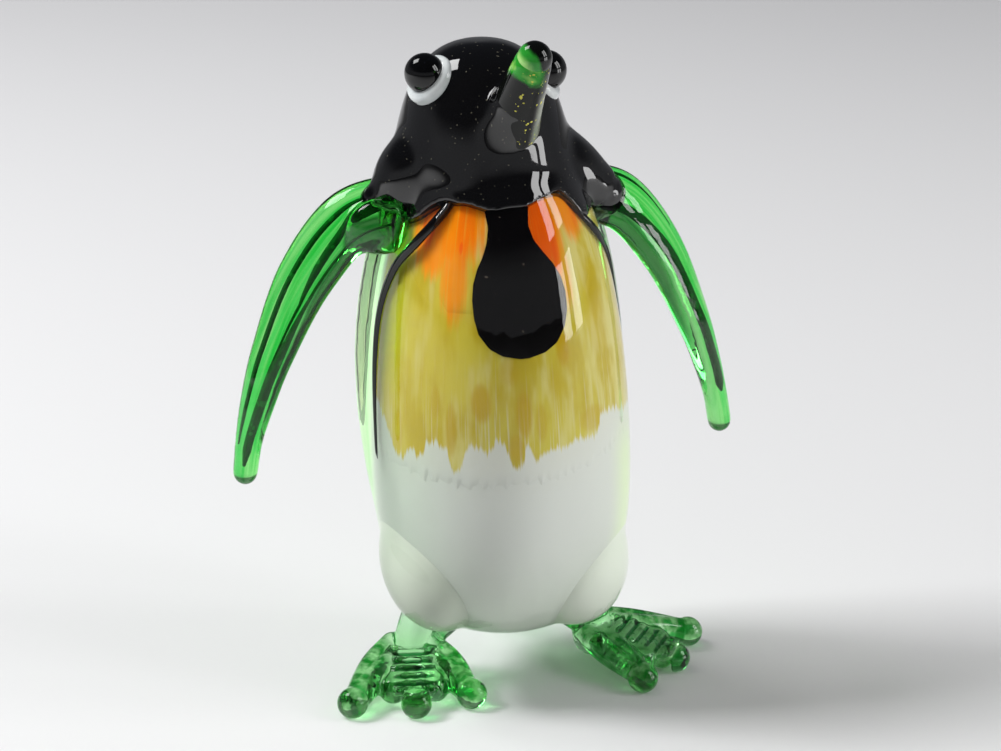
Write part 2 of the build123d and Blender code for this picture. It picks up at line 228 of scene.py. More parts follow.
# Applies the modifiers of a piece to its mesh
def keepShape(obj, name):
    graph = bpy.context.evaluated_depsgraph_get()
    made = bpy.data.meshes.new_from_object(obj.evaluated_get(graph))
    old = obj.data
    obj.modifiers.clear()
    obj.data = made
    bpy.data.meshes.remove(old)
    obj.data.name = name


# Gives a mesh the place of each point on its drawn piece, for the streaks
def setDrawn(obj, places):
    attribute = obj.data.attributes.new("drawn", "FLOAT_VECTOR", "POINT")
    attribute.data.foreach_set("vector", np.asarray(places, np.float32).ravel())


def pointsOf(obj):
    flat = np.zeros(len(obj.data.vertices) * 3, np.float32)
    obj.data.vertices.foreach_get("co", flat)
    return flat.reshape(-1, 3).astype(float) / mm


# Adds a node; an input is given as a value or as the socket that feeds it
def addNode(tree, kind, inputs=None, **settings):
    node = tree.nodes.new(kind)
    for key, value in settings.items():
        setattr(node, key, value)
    for key, value in (inputs or {}).items():
        if isinstance(value, bpy.types.NodeSocket):
            tree.links.new(value, node.inputs[key])
        else:
            node.inputs[key].default_value = value
    return node


def calc(tree, operation, *values):
    return addNode(tree, "ShaderNodeMath", dict(enumerate(values)), operation=operation).outputs[0]


def times(tree, first, *others):
    for other in others:
        first = calc(tree, "MULTIPLY", first, other)
    return first


def plus(tree, first, second):
    return calc(tree, "ADD", first, second)


def minus(tree, first, second):
    return calc(tree, "SUBTRACT", first, second)


def objectPlace(tree):
    return addNode(tree, "ShaderNodeTexCoord").outputs["Object"]


def parted(tree, vector):
    return addNode(tree, "ShaderNodeSeparateXYZ", {0: vector}).outputs


# Place of a point on its drawn piece, as setDrawn stored it
def drawnParts(tree):
    return parted(tree, addNode(tree, "ShaderNodeAttribute", attribute_name="drawn").outputs["Vector"])


def joined(tree, *values):
    return addNode(tree, "ShaderNodeCombineXYZ", dict(enumerate(values))).outputs[0]


def noiseAt(tree, vector, scale, detail=2.0, roughness=0.5):
    return addNode(tree, "ShaderNodeTexNoise", {"Vector": vector, "Scale": scale, "Detail": detail,
                                                "Roughness": roughness}).outputs[0]


def easeMask(tree, value, low, high):
    return addNode(tree, "ShaderNodeMapRange", {0: value, 1: low, 2: high},
                   interpolation_type="SMOOTHSTEP").outputs[0]


def blendColour(tree, share, first, second):
    return addNode(tree, "ShaderNodeMix", {0: share, 6: first, 7: second}, data_type="RGBA").outputs[2]


# Lays (mask, colour) pairs over a ground, one after the other
def layered(tree, ground, *layers):
    for mask, colour in layers:
        ground = blendColour(tree, mask, ground, colour)
    return ground


# Colour given as it looks on a screen, 0 to 255
def shade(red, green, blue):
    linear = [c / 255 / 12.92 if c / 255 <= 0.04045 else ((c / 255 + 0.055) / 1.055) ** 2.4
              for c in (red, green, blue)]
    return (*linear, 1.0)


def newGroup(name, inputs, outputs):
    group = bpy.data.node_groups.new(name, "ShaderNodeTree")
    for label, value in inputs.items():
        kind = "NodeSocketColor" if isinstance(value, tuple) else "NodeSocketFloat"
        socket = group.interface.new_socket(name=label, in_out="INPUT", socket_type=kind)
        socket.default_value = value
    for label, kind in outputs.items():
        group.interface.new_socket(name=label, in_out="OUTPUT", socket_type="NodeSocket" + kind)
    return group, group.nodes.new("NodeGroupInput"), group.nodes.new("NodeGroupOutput")


def useGroup(tree, group, **values):
    return addNode(tree, "ShaderNodeGroup", values, node_tree=group)


def newMaterial(name):
    material = bpy.data.materials.new(name)
    material.use_nodes = True
    material.node_tree.nodes.clear()
    return material, material.node_tree, material.node_tree.nodes.new("ShaderNodeOutputMaterial")


def dress(obj, material, slot, *replaced):
    obj.data.materials.clear()
    obj.data.materials.append(material)
    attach(obj, "root")
    if replaced:
        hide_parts(*replaced)
    return obj


view = {"azimuth": -14, "elevation": 20, "distance": 300, "aim": (1.4, -1.05, 39.2), "lens": 90.63}
back = Vector((math.sin(deg(view["azimuth"])) * math.cos(deg(view["elevation"])),
               -math.cos(deg(view["azimuth"])) * math.cos(deg(view["elevation"])),
               math.sin(deg(view["elevation"]))))
cameraData = bpy.data.cameras.new("camera")
cameraData.lens = view["lens"]
cameraData.sensor_width = 36
cameraData.clip_start = 0.01
cameraObject = bpy.data.objects.new("camera", cameraData)
scene.collection.objects.link(cameraObject)
cameraObject.location = (Vector(view["aim"]) + back * view["distance"]) * mm
cameraObject.rotation_mode = "QUATERNION"
cameraObject.rotation_quaternion = (-back).to_track_quat("-Z", "Y")
scene.camera = cameraObject

# Body sizes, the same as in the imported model; the spine leans a little to the left
body = {"bellyRadius": 15.6, "bellyHeight": 29.0, "bottom": 8.0, "top": 70.0, "endShare": 0.77,
        "endRadius": 1.6, "lowerShare": 0.30, "upperShare": 0.46, "spineX": 2.3, "spineY": -1.05,
        "lean": 1.7, "casingWall": 1.4}
frontWay = np.array([0.0, -1.0, 0.0])
upWay = np.array([0.0, 0.0, 1.0])
bothSides = ((-1, "Left"), (1, "Right"))
spineUp = np.array([-math.sin(deg(body["lean"])), 0, math.cos(deg(body["lean"]))])
spineOut = np.array([math.cos(deg(body["lean"])), 0, math.sin(deg(body["lean"]))])
spineBase = np.array([body["spineX"], body["spineY"], 0])


def fromSpine(azimuth, radius, height, setback=0.0):
    return (spineBase - frontWay * setback + spineOut * math.sin(deg(azimuth)) * radius
            + frontWay * math.cos(deg(azimuth)) * radius + spineUp * height)


def spineAt(height, setback=0.0):
    return np.array([body["spineX"] - height * math.tan(deg(body["lean"])), body["spineY"] + setback,
                     height])


def besideSpine(out, height, setback=0.0):
    return spineAt(height, setback) + np.array([out, 0, 0])


def levelWay(azimuth):
    return np.array([math.sin(deg(azimuth)), -math.cos(deg(azimuth)), 0])


# (radius, height) down the egg's outline, drawn in by an inset
def eggProfile(inset, count=60):
    radius, low, high = body["bellyRadius"] - inset, body["bottom"] + inset, body["top"] - inset
    middle = body["bellyHeight"]
    lower = [(body["endRadius"], low), (radius * body["endShare"], low),
             (radius, low + (middle - low) * body["lowerShare"]), (radius, middle)]
    upper = [(radius, middle), (radius, middle + (high - middle) * body["upperShare"]),
             (radius * body["endShare"], high), (body["endRadius"], high)]
    return np.vstack([bezier(lower, count), bezier(upper, count)[1:]])


def eggRadius(height, inset=0.0):
    profile = eggProfile(inset, 200)
    return float(np.interp(height, profile[:, 1], profile[:, 0]))


print("shader groups")

# Fine unevenness of hand-worked glass: a soft ripple for the normal, and a mask for roughness
handGroup, gi, go = newGroup("handWorked", {"Ripple": 0.1, "Size": 250.0},
                             {"Normal": "Vector", "Mask": "Float"})
where = objectPlace(handGroup)
wide = noiseAt(handGroup, where, gi.outputs["Size"], 1.5, 0.4)
bump = addNode(handGroup, "ShaderNodeBump", {"Strength": gi.outputs["Ripple"], "Distance": 0.001,
                                             "Height": wide})
handGroup.links.new(bump.outputs[0], go.inputs["Normal"])
handGroup.links.new(easeMask(handGroup, noiseAt(handGroup, where, 2600.0), 0.45, 0.75),
                    go.inputs["Mask"])


def vectorCalc(tree, operation, inputs):
    return addNode(tree, "ShaderNodeVectorMath", inputs, operation=operation).outputs[0]


# Bright metal flecks sunk in dark glass, shaken off their grid
fleckGroup, gi, go = newGroup("flecks", {"Scale": 1800.0, "Share": 0.1, "Size": 0.28},
                              {"Mask": "Float"})
where = objectPlace(fleckGroup)
shake = addNode(fleckGroup, "ShaderNodeTexNoise", {"Vector": where, "Scale": 260.0, "Detail": 2.0})
shaken = vectorCalc(fleckGroup, "SUBTRACT", {0: shake.outputs["Color"], 1: (0.5, 0.5, 0.5)})
shaken = vectorCalc(fleckGroup, "SCALE", {0: shaken, "Scale": 0.003})
shaken = vectorCalc(fleckGroup, "ADD", {0: where, 1: shaken})
cells = addNode(fleckGroup, "ShaderNodeTexVoronoi", {"Vector": shaken, "Scale": gi.outputs["Scale"]})
split = addNode(fleckGroup, "ShaderNodeSeparateColor", {0: cells.outputs["Color"]})
reach = times(fleckGroup, split.outputs[1], gi.outputs["Size"])
spot = calc(fleckGroup, "LESS_THAN", cells.outputs["Distance"], reach)
pick = calc(fleckGroup, "LESS_THAN", split.outputs[0], gi.outputs["Share"])
fleckGroup.links.new(times(fleckGroup, spot, pick), go.inputs["Mask"])

# Place on the body: angle from the front in degrees, and height in millimetres
placeGroup, gi, go = newGroup("placeOnBody", {}, {"Azimuth": "Float", "Height": "Float"})
axes = parted(placeGroup, objectPlace(placeGroup))
heightMm = times(placeGroup, axes[2], 1000.0)
spineX = calc(placeGroup, "MULTIPLY_ADD", heightMm, -math.tan(deg(body["lean"])), body["spineX"])
acrossMm = minus(placeGroup, times(placeGroup, axes[0], 1000.0), spineX)
frontMm = minus(placeGroup, body["spineY"], times(placeGroup, axes[1], 1000.0))
angle = calc(placeGroup, "DEGREES", calc(placeGroup, "ARCTAN2", acrossMm, frontMm))
placeGroup.links.new(angle, go.inputs["Azimuth"])
placeGroup.links.new(heightMm, go.inputs["Height"])

# Brushed colours of the breast over opal: watery yellow with a fringe, orange lobes, mustard dabs.
# Dabs are (azimuth, height, half width in degrees, half height in mm, strength), and the hem's
# line is (azimuth, height)
coatLook = {
    "opal": shade(221, 224, 219), "opalLow": shade(214, 222, 210), "opalBack": shade(206, 226, 198),
    # the lower right side gets a lime tint painted brighter than the opal: a painted glow
    # the opal on the left of the body is painted darker: painted shade
    "opalLeftPaintedShade": shade(192, 202, 190), "limeTintPaintedGlow": shade(226, 243, 200), "yellow": shade(207, 194, 72),
    "deepYellow": shade(194, 174, 44), "paleYellow": shade(216, 208, 132),
    # the yellow on the left of the breast is painted darker: painted shade
    "yellowLeftPaintedShade": shade(160, 146, 40), "lime": shade(184, 200, 48), "mustard": shade(192, 158, 20),
    "orange": shade(242, 138, 12), "redOrange": shade(238, 92, 8),
    "fringe": 1.5, "hemLow": 30.0, "hemRise": 10.0,
    "mustardDabs": (
        (-21.7, 40.9, 5.5, 2.6, 0.9), (-36.0, 37.5, 3.2, 3.6, 0.75), (-2.2, 39.6, 4.6, 3.4, 0.85),
        (-6.0, 35.6, 4.0, 2.2, 0.7), (19.5, 46.6, 4.6, 2.6, 1.0), (16.0, 49.0, 4.0, 2.0, 0.8),
        (34.0, 37.6, 10.0, 1.8, 0.5), (-66.0, 36.0, 3.4, 3.0, 0.5), (-44.0, 40.4, 3.0, 2.4, 0.5),
        (6.0, 38.4, 3.0, 2.6, 0.5), (-8.0, 44.6, 6.0, 2.0, 0.4), (44.0, 50.0, 10.0, 7.0, 0.25)),
    "orangeDabs": (
        (-38.0, 61.8, 25.0, 7.4, 1.0), (-36.0, 56.0, 9.5, 7.4, 0.85), (-57.0, 60.0, 13.0, 5.5, 0.9),
        (19.0, 60.5, 15.0, 8.2, 1.0), (41.0, 62.6, 17.0, 5.2, 0.95), (26.0, 55.0, 6.0, 5.0, 0.4),
        (-50.0, 58.4, 13.0, 4.6, 0.9)),
    "redDabs": (
        (-57.5, 60.2, 6.0, 3.2, 1.0), (17.0, 60.0, 12.0, 7.0, 0.95), (-31.0, 60.4, 7.0, 5.5, 0.5),
        (-33.0, 58.2, 1.5, 1.0, 1.0), (47.0, 60.6, 5.0, 3.0, 0.5)),
    "hemLine": (
        (-96, 38.5), (-80, 36.6), (-73, 34.6), (-68, 33.0), (-63, 32.5), (-59, 34.2), (-53, 33.6),
        (-49, 35.0), (-43, 35.6), (-39, 35.1), (-34, 32.6), (-30, 34.6), (-25, 35.7), (-19, 35.0),
        (-14, 36.5), (-10, 34.8), (-6, 33.1), (-2, 34.8), (0, 35.5), (3, 33.6), (7, 34.8),
        (17, 34.9), (24, 35.6), (34, 35.2), (38, 36.2), (41, 37.7), (66, 36.4), (96, 37.0))}
coat, gi, go = newGroup("brushedCoat", {}, {"Color": "Color"})
azimuth, height = useGroup(coat, placeGroup).outputs[:2]
turnAway = calc(coat, "ABSOLUTE", azimuth)


# A mask on the coat that rises smoothly from low to high
def rising(value, low, high):
    return easeMask(coat, value, low, high)


# Noise drawn out down the body
def strokes(aroundScale, upScale, detail, shift):
    vector = joined(coat, times(coat, azimuth, aroundScale), times(coat, height, upScale), shift)
    return noiseAt(coat, vector, 1.0, detail, 0.55)


# Soft spots of colour with edges made ragged by the strokes
def dabs(spots, ragged, amount):
    total = None
    for atAzimuth, atHeight, wideDeg, tallMm, strength in spots:
        a = calc(coat, "DIVIDE", minus(coat, azimuth, atAzimuth), wideDeg)
        b = calc(coat, "DIVIDE", minus(coat, height, atHeight), tallMm)
        away = plus(coat, times(coat, a, a), times(coat, b, b))
        away = plus(coat, away, times(coat, minus(coat, ragged, 0.5), amount))
        spot = times(coat, rising(away, 1.05, 0.25), strength)
        total = spot if total is None else calc(coat, "MAXIMUM", total, spot)
    return total


wash = strokes(0.075, 0.10, 3.0, 3.0)
broad = strokes(0.13, 0.075, 2.0, 5.0)
thin = strokes(0.36, 0.06, 3.0, 7.0)
hair = strokes(1.05, 0.07, 2.0, 11.0)
# the hem's height around the breast, with drawn-out points
hemCurve = coat.nodes.new("ShaderNodeFloatCurve")
hemPoints = hemCurve.mapping.curves[0].points
for number, (atAzimuth, atHeight) in enumerate(coatLook["hemLine"]):
    spot = ((atAzimuth + 100) / 200, (atHeight - coatLook["hemLow"]) / coatLook["hemRise"])
    if number in (0, len(coatLook["hemLine"]) - 1):
        hemPoints[0 if number == 0 else -1].location = spot
    else:
        hemPoints.new(*spot)
hemCurve.mapping.update()
coat.links.new(calc(coat, "MULTIPLY_ADD", azimuth, 0.005, 0.5), hemCurve.inputs["Value"])
edge = calc(coat, "MULTIPLY_ADD", hemCurve.outputs[0], coatLook["hemRise"], coatLook["hemLow"])
for stroke, share in ((thin, 2.0), (hair, 1.6)):
    edge = plus(coat, edge, times(coat, minus(coat, stroke, 0.5), coatLook["fringe"] * share))
aboveHem = minus(coat, height, edge)
yellowMask = times(coat, rising(aboveHem, -0.3, 0.5), rising(turnAway, 97.0, 90.0))
paleSide = calc(coat, "MULTIPLY_ADD", rising(azimuth, 14.0, 50.0), 0.13, broad)
yellowColour = layered(
    coat, coatLook["yellow"], (rising(wash, 0.38, 0.66), coatLook["deepYellow"]),
    (times(coat, rising(paleSide, 0.48, 0.66), rising(wash, 0.66, 0.42), 0.85), coatLook["paleYellow"]),
    (times(coat, rising(thin, 0.56, 0.76), 0.3), coatLook["mustard"]),
    (times(coat, rising(hair, 0.54, 0.7), rising(aboveHem, 12.0, 1.0), 0.4), coatLook["opal"]),
    (times(coat, rising(azimuth, -58.0, -72.0), rising(height, 37.0, 48.0), rising(height, 56.0, 51.0),
           0.8), coatLook["lime"]),
    (times(coat, dabs(coatLook["mustardDabs"], wash, 0.8), 0.85), coatLook["mustard"]),
    # painted shade: the yellow is darker on the left side
    (times(coat, rising(azimuth, -22.0, -60.0), 0.45), coatLook["yellowLeftPaintedShade"]))
orangeColour = layered(
    coat, coatLook["orange"], (dabs(coatLook["redDabs"], thin, 1.2), coatLook["redOrange"]),
    (times(coat, rising(hair, 0.52, 0.76), 0.3), coatLook["yellow"]))
painted = layered(
    coat, coatLook["opal"], (rising(height, 26.0, 10.0), coatLook["opalLow"]),
    # painted shade: the opal is darker on the left side
    (rising(azimuth, -18.0, -62.0), coatLook["opalLeftPaintedShade"]),
    # painted glow: a bright lime tint on the lower right side
    (times(coat, rising(azimuth, 42.0, 66.0), rising(height, 38.0, 30.0)), coatLook["limeTintPaintedGlow"]),
    (rising(turnAway, 88.0, 104.0), coatLook["opalBack"]), (yellowMask, yellowColour),
    (dabs(coatLook["orangeDabs"], thin, 1.1), orangeColour))
coat.links.new(painted, go.inputs["Color"])

# Streaks of deeper and paler glass along a drawn piece
streakGroup, gi, go = newGroup("drawnStreaks", {"Deep": shade(40, 170, 70), "Pale": shade(190, 240, 180),
                                                "Around": 1.2, "Along": 0.08}, {"Color": "Color"})
parts = drawnParts(streakGroup)
scaled = [times(streakGroup, parts[axis], gi.outputs[scale])
          for axis, scale in enumerate(("Around", "Along", "Around"))]
noise = noiseAt(streakGroup, joined(streakGroup, *scaled), 1.0)
streakGroup.links.new(blendColour(streakGroup, easeMask(streakGroup, noise, 0.38, 0.62),
                                  gi.outputs["Deep"], gi.outputs["Pale"]), go.inputs["Color"])

print("materials")


# Clear glass that lets lamps reach what is sealed in it
def glassMaterial(name, colour, ripple, size, lampShare=0.5, absorb=None, density=0.0):
    material, tree, out = newMaterial(name)
    hand = useGroup(tree, handGroup, Ripple=ripple, Size=size).outputs
    glass = addNode(tree, "ShaderNodeBsdfPrincipled", {
        "IOR": 1.5, "Transmission Weight": 1.0, "Normal": hand["Normal"], "Base Color": colour(tree),
        "Roughness": calc(tree, "MULTIPLY_ADD", hand["Mask"], 0.02, 0.004)})
    lampThrough = addNode(tree, "ShaderNodeBsdfTransparent", {0: (lampShare, lampShare, lampShare, 1.0)})
    path = addNode(tree, "ShaderNodeLightPath")
    mix = addNode(tree, "ShaderNodeMixShader", {0: path.outputs["Is Shadow Ray"], 1: glass.outputs[0],
                                                2: lampThrough.outputs[0]})
    tree.links.new(mix.outputs[0], out.inputs["Surface"])
    if density:
        fog = addNode(tree, "ShaderNodeVolumeAbsorption", {"Color": absorb, "Density": density})
        tree.links.new(fog.outputs[0], out.inputs["Volume"])
    return material


# Opaque glass; what is sealed under clear glass has no gloss of its own
def solidMaterial(name, colour, rough, coat=0.0, ripple=0.06, size=250.0, sealed=False, gloss=0.5):
    material, tree, out = newMaterial(name)
    hand = useGroup(tree, handGroup, Ripple=ripple, Size=size).outputs
    solid = addNode(tree, "ShaderNodeBsdfPrincipled", {
        "IOR": 1.5, "Normal": hand["Normal"], "Coat Weight": coat, "Coat Roughness": 0.02,
        "Specular IOR Level": 0.0 if sealed else gloss, "Base Color": colour(tree),
        "Roughness": calc(tree, "MULTIPLY_ADD", hand["Mask"], rough[1] - rough[0], rough[0])})
    tree.links.new(solid.outputs[0], out.inputs["Surface"])
    return material


# Dark glass with fine flecks
def fleckedColour(ground, fleck, scale, share, size):
    def build(tree):
        mask = useGroup(tree, fleckGroup, Scale=scale, Share=share, Size=size)
        return blendColour(tree, mask.outputs[0], ground, fleck)
    return build


def coatColour(tree):
    return useGroup(tree, coat).outputs[0]


# The casing is clear in front and pale green over the back, where the mantle lies, and greenish
# where the legs are fused to it
casingLook = {"clear": (0.985, 1.0, 0.985, 1.0), "green": shade(178, 226, 168),
              "wisp": shade(226, 243, 216), "deep": shade(88, 190, 98), "under": shade(120, 190, 120),
              "greenFrom": 84.0, "greenFull": 98.0, "greenLow": 14.0, "greenHigh": 30.0}


def casingColour(tree):
    azimuth, height = useGroup(tree, placeGroup).outputs[:2]
    turn = calc(tree, "ABSOLUTE", azimuth)
    share = times(tree, easeMask(tree, turn, casingLook["greenFrom"], casingLook["greenFull"]),
                  easeMask(tree, height, casingLook["greenLow"], casingLook["greenHigh"]))
    wisps = noiseAt(tree, joined(tree, times(tree, azimuth, 0.16), times(tree, height, 0.05)), 1.0)
    green = layered(tree, casingLook["green"], (easeMask(tree, wisps, 0.35, 0.65), casingLook["wisp"]),
                    (easeMask(tree, height, 46.0, 61.0), casingLook["deep"]))
    return layered(tree, casingLook["clear"], (share, green),
                   (easeMask(tree, height, 9.6, 8.4), casingLook["under"]))


casingGlass = glassMaterial("casingGlass", casingColour, 0.05, 160.0, 0.92)
opalGlass = solidMaterial("opalGlass", coatColour, (0.25, 0.35), sealed=True)
breastGlass = solidMaterial("breastGlass", coatColour, (0.3, 0.45), sealed=True)
orangeGlass = solidMaterial("orangeGlass", coatColour, (0.3, 0.4), sealed=True)
# Ground, fleck, and the flecks' scale, share and size
darkLooks = {"black": (shade(7, 7, 8), shade(88, 86, 74), 3600.0, 0.10, 0.36),
             "pupil": (shade(5, 5, 6), shade(22, 24, 30), 1500.0, 0.2, 0.4),
             "bib": (shade(6, 5, 6), shade(74, 68, 60), 2200.0, 0.05, 0.36),
             "thread": (shade(26, 92, 48), shade(40, 128, 66), 900.0, 0.3, 0.6),
             "stringer": (shade(6, 6, 7), shade(16, 20, 16), 900.0, 0.3, 0.6)}


def darkGlass(name, rough, **more):
    return solidMaterial(name + "Glass", fleckedColour(*darkLooks[name]), rough, **more)


blackGlass = darkGlass("black", (0.02, 0.05), ripple=0.05, gloss=0.8)
pupilGlass = darkGlass("pupil", (0.02, 0.04), ripple=0.03)
bibGlass = darkGlass("bib", (0.15, 0.3), ripple=0.2, size=500.0, sealed=True)
threadGlass = darkGlass("thread", (0.1, 0.2), sealed=True)
stringerGlass = darkGlass("stringer", (0.03, 0.06))

# Beak: dark with gold flecks, green under its end drop, with a pale clear strip down its right side
beakLook = {"dark": shade(11, 13, 11), "green": shade(34, 142, 36), "lit": shade(128, 190, 84),
            "gold": shade(214, 208, 84), "strip": shade(150, 156, 138), "greenFrom": 0.84,
            "greenFull": 0.93}


def beakColour(tree):
    side, along = drawnParts(tree)[:2]
    veil = noiseAt(tree, objectPlace(tree), 420.0)
    level = plus(tree, along, times(tree, minus(tree, veil, 0.5), 0.35))
    green = times(tree, easeMask(tree, level, beakLook["greenFrom"], beakLook["greenFull"]),
                  easeMask(tree, side, 0.75, 0.1))
    bright = blendColour(tree, easeMask(tree, veil, 0.48, 0.62), beakLook["green"], beakLook["lit"])
    strip = times(tree, easeMask(tree, side, 0.45, 0.72), easeMask(tree, along, 0.12, 0.3),
                  easeMask(tree, along, 0.84, 0.7), 0.8)
    flecks = useGroup(tree, fleckGroup, Scale=2700.0, Share=0.6, Size=0.42)
    gold = times(tree, easeMask(tree, along, 0.2, 0.4), easeMask(tree, veil, 0.42, 0.5),
                 easeMask(tree, side, -0.75, -0.3), flecks.outputs[0])
    return layered(tree, beakLook["dark"], (green, bright), (strip, beakLook["strip"]),
                   (gold, beakLook["gold"]))


beakGlass = solidMaterial("beakGlass", beakColour, (0.02, 0.05), gloss=0.32)

# End drop: clear green at the lower left, painted brighter there as painted light gathered in the drop,
# and black at the upper right
tipLook = {"green": shade(40, 140, 44), "lit": shade(150, 206, 110), "black": shade(7, 9, 7)}


def tipColour(tree):
    parts = drawnParts(tree)
    veil = noiseAt(tree, objectPlace(tree), 600.0)
    slant = plus(tree, parts[0], times(tree, parts[1], 0.75))
    slant = plus(tree, slant, times(tree, minus(tree, veil, 0.5), 0.5))
    # painted light: the lower left of the drop is brighter
    return layered(tree, tipLook["green"], (easeMask(tree, slant, -0.45, -0.95), tipLook["lit"]),
                   (easeMask(tree, slant, -0.2, 0.1), tipLook["black"]))


def eyeColour(tree):
    cloud = easeMask(tree, noiseAt(tree, objectPlace(tree), 500.0), 0.35, 0.7)
    return blendColour(tree, cloud, shade(216, 220, 220), shade(200, 206, 208))


tipGlass = solidMaterial("tipGlass", tipColour, (0.02, 0.04))
eyeGlass = solidMaterial("eyeGlass", eyeColour, (0.05, 0.1), coat=0.3)

# Wings: saturated green with a pale rim and streaks; the attribute is (across, along, through)
wingLook = {"deep": shade(58, 214, 88), "pale": shade(176, 244, 160), "rim": shade(222, 250, 208),
            "rimFrom": {-1: (9.0, 3.6), 1: (1.9, 9.0)}, "absorb": (0.10, 0.93, 0.22, 1.0),
            "density": 190.0}


def wingColour(rimLow, rimHigh):
    def build(tree):
        streaks = useGroup(tree, streakGroup, Deep=wingLook["deep"], Pale=wingLook["pale"], Around=1.7,
                           Along=0.05)
        across = drawnParts(tree)[0]
        edge = calc(tree, "MAXIMUM", easeMask(tree, across, -rimLow + 1.2, -rimLow),
                    easeMask(tree, across, rimHigh - 1.0, rimHigh))
        return blendColour(tree, edge, streaks.outputs[0], wingLook["rim"])
    return build


wingGlass = {side: glassMaterial("wingGlass" + name, wingColour(*wingLook["rimFrom"][side]), 0.12, 300.0,
                                 absorb=wingLook["absorb"], density=wingLook["density"])
             for side, name in bothSides}

# Feet: clear glass, green in its thick parts and paler up the legs, with painted shade as dark lines in
# the grooves between the ribs; the attribute is (across the foot, height, along the foot)
footLook = {"deep": shade(22, 142, 42), "pale": shade(190, 240, 180), "leg": shade(240, 252, 236),
            "pad": shade(222, 249, 214), "grooveShadePainted": shade(10, 84, 30), "absorb": (0.15, 0.90, 0.30, 1.0),
            "density": 90.0, "legFrom": 5.6, "legFull": 7.6, "ribFirst": 3.4, "ribPitch": 1.25,
            "ribCount": 6, "ribHalf": 2.5}


def footColour(tree):
    streaks = useGroup(tree, streakGroup, Deep=footLook["deep"], Pale=footLook["pale"], Around=0.75,
                       Along=0.6)
    across, tall, along = drawnParts(tree)[:3]
    away = calc(tree, "ABSOLUTE", across)
    first, half = footLook["ribFirst"], footLook["ribHalf"]
    last = first + footLook["ribPitch"] * (footLook["ribCount"] - 1)
    phase = times(tree, minus(tree, along, first), 2 * math.pi / footLook["ribPitch"])
    # painted shade: dark lines in the grooves between the ribs
    grooveShadePainted = times(tree, easeMask(tree, calc(tree, "COSINE", phase), -0.1, -0.8),
                   easeMask(tree, away, half + 0.3, half - 0.3),
                   easeMask(tree, along, first - 1.0, first),
                   easeMask(tree, along, last + 0.9, last + 0.3), easeMask(tree, tall, 1.6, 2.2))
    outward = calc(tree, "MAXIMUM", easeMask(tree, away, 2.0, 3.6), easeMask(tree, along, 8.4, 9.8))
    return layered(tree, footLook["pad"], (outward, streaks.outputs[0]),
                   (easeMask(tree, tall, footLook["legFrom"], footLook["legFull"]), footLook["leg"]),
                   (grooveShadePainted, footLook["grooveShadePainted"]))


footGlass = glassMaterial("footGlass", footColour, 0.12, 400.0, absorb=footLook["absorb"],
                          density=footLook["density"])


# Haunches: greener towards the bottom, and painted paler on the right as painted light where the right
# haunch lies in shade
def haunchColour(tree):
    where = objectPlace(tree)
    axes = parted(tree, where)
    level = plus(tree, times(tree, axes[2], 1000.0), times(tree, noiseAt(tree, where, 160.0), 5.0))
    # painted light: the right haunch is painted paler
    right = easeMask(tree, axes[0], -0.002, 0.004)
    upper = blendColour(tree, right, shade(196, 204, 190), shade(230, 236, 224))
    lower = blendColour(tree, right, shade(182, 204, 174), shade(210, 232, 200))
    return blendColour(tree, easeMask(tree, level, 17.0, 9.5), upper, lower)


haunchGlass = solidMaterial("haunchGlass", haunchColour, (0.2, 0.3), sealed=True)

print("body")
mantle = {"thickness": 2.1, "from": 91.0, "full": 105.0,
          "heights": (20.0, 22.9, 27.8, 35.3, 42.7, 50.2, 57.6, 61.9, 66.5),
          "shares": (0.0, 0.05, 0.35, 0.75, 1.0, 1.05, 1.0, 0.9, 0.0)}
turnsAround = np.linspace(-180, 180, 120, endpoint=False)


def mantleRise(azimuth, height):
    share = float(np.interp(height, mantle["heights"], mantle["shares"]))
    return mantle["thickness"] * share * float(easeStep(mantle["from"], mantle["full"], abs(azimuth)))


def bodySkin(name, inset, withMantle):
    return skinRings(name, [[fromSpine(a, radius + (mantleRise(a, height) if withMantle else 0), height)
                             for a in turnsAround] for radius, height in eggProfile(inset)])


haunch = {"halfLength": {-1: 9.4, 1: 9.0}, "radius": {-1: 7.0, 1: 7.3}, "reach": {-1: 8.9, 1: 7.0},
          "height": {-1: 18.0, 1: 17.4}, "advance": {-1: 2.8, 1: 4.3}, "tilt": 40.0, "opalInset": 0.75}
haunchWay = frontWay * math.sin(deg(haunch["tilt"])) - upWay * math.cos(deg(haunch["tilt"]))


def haunchBall(name, side, inset):
    centre = besideSpine(side * haunch["reach"][side], haunch["height"][side], -haunch["advance"][side])
    radius = haunch["radius"][side] - inset
    return ball(name, centre, (radius, radius, haunch["halfLength"][side] - inset), (1, 0, 0),
                haunchWay, 40, 56)


casing = melt("bodyCasing", [bodySkin("skin", 0.0, True), haunchBall("hipLeft", -1, 0.0),
                             haunchBall("hipRight", 1, 0.0)], 0.36, 14)
dress(casing, casingGlass, "clear_glass", "body_casing", "back_mantle")
core = bodySkin("bodyCore", body["casingWall"], False)
dress(core, opalGlass, "opal_white", "body_core")
for side, name in bothSides:
    dress(haunchBall("haunch" + name, side, haunch["opalInset"]), haunchGlass, "haunch_opal",
          "haunch_" + name.lower())

films = {"yellowDepth": 1.30, "orangeDepth": 1.24, "bibDepth": 1.0, "rim": 0.4, "thickness": 0.35,
         "halfAngle": 92.0, "low": 30.5, "high": 63.5}


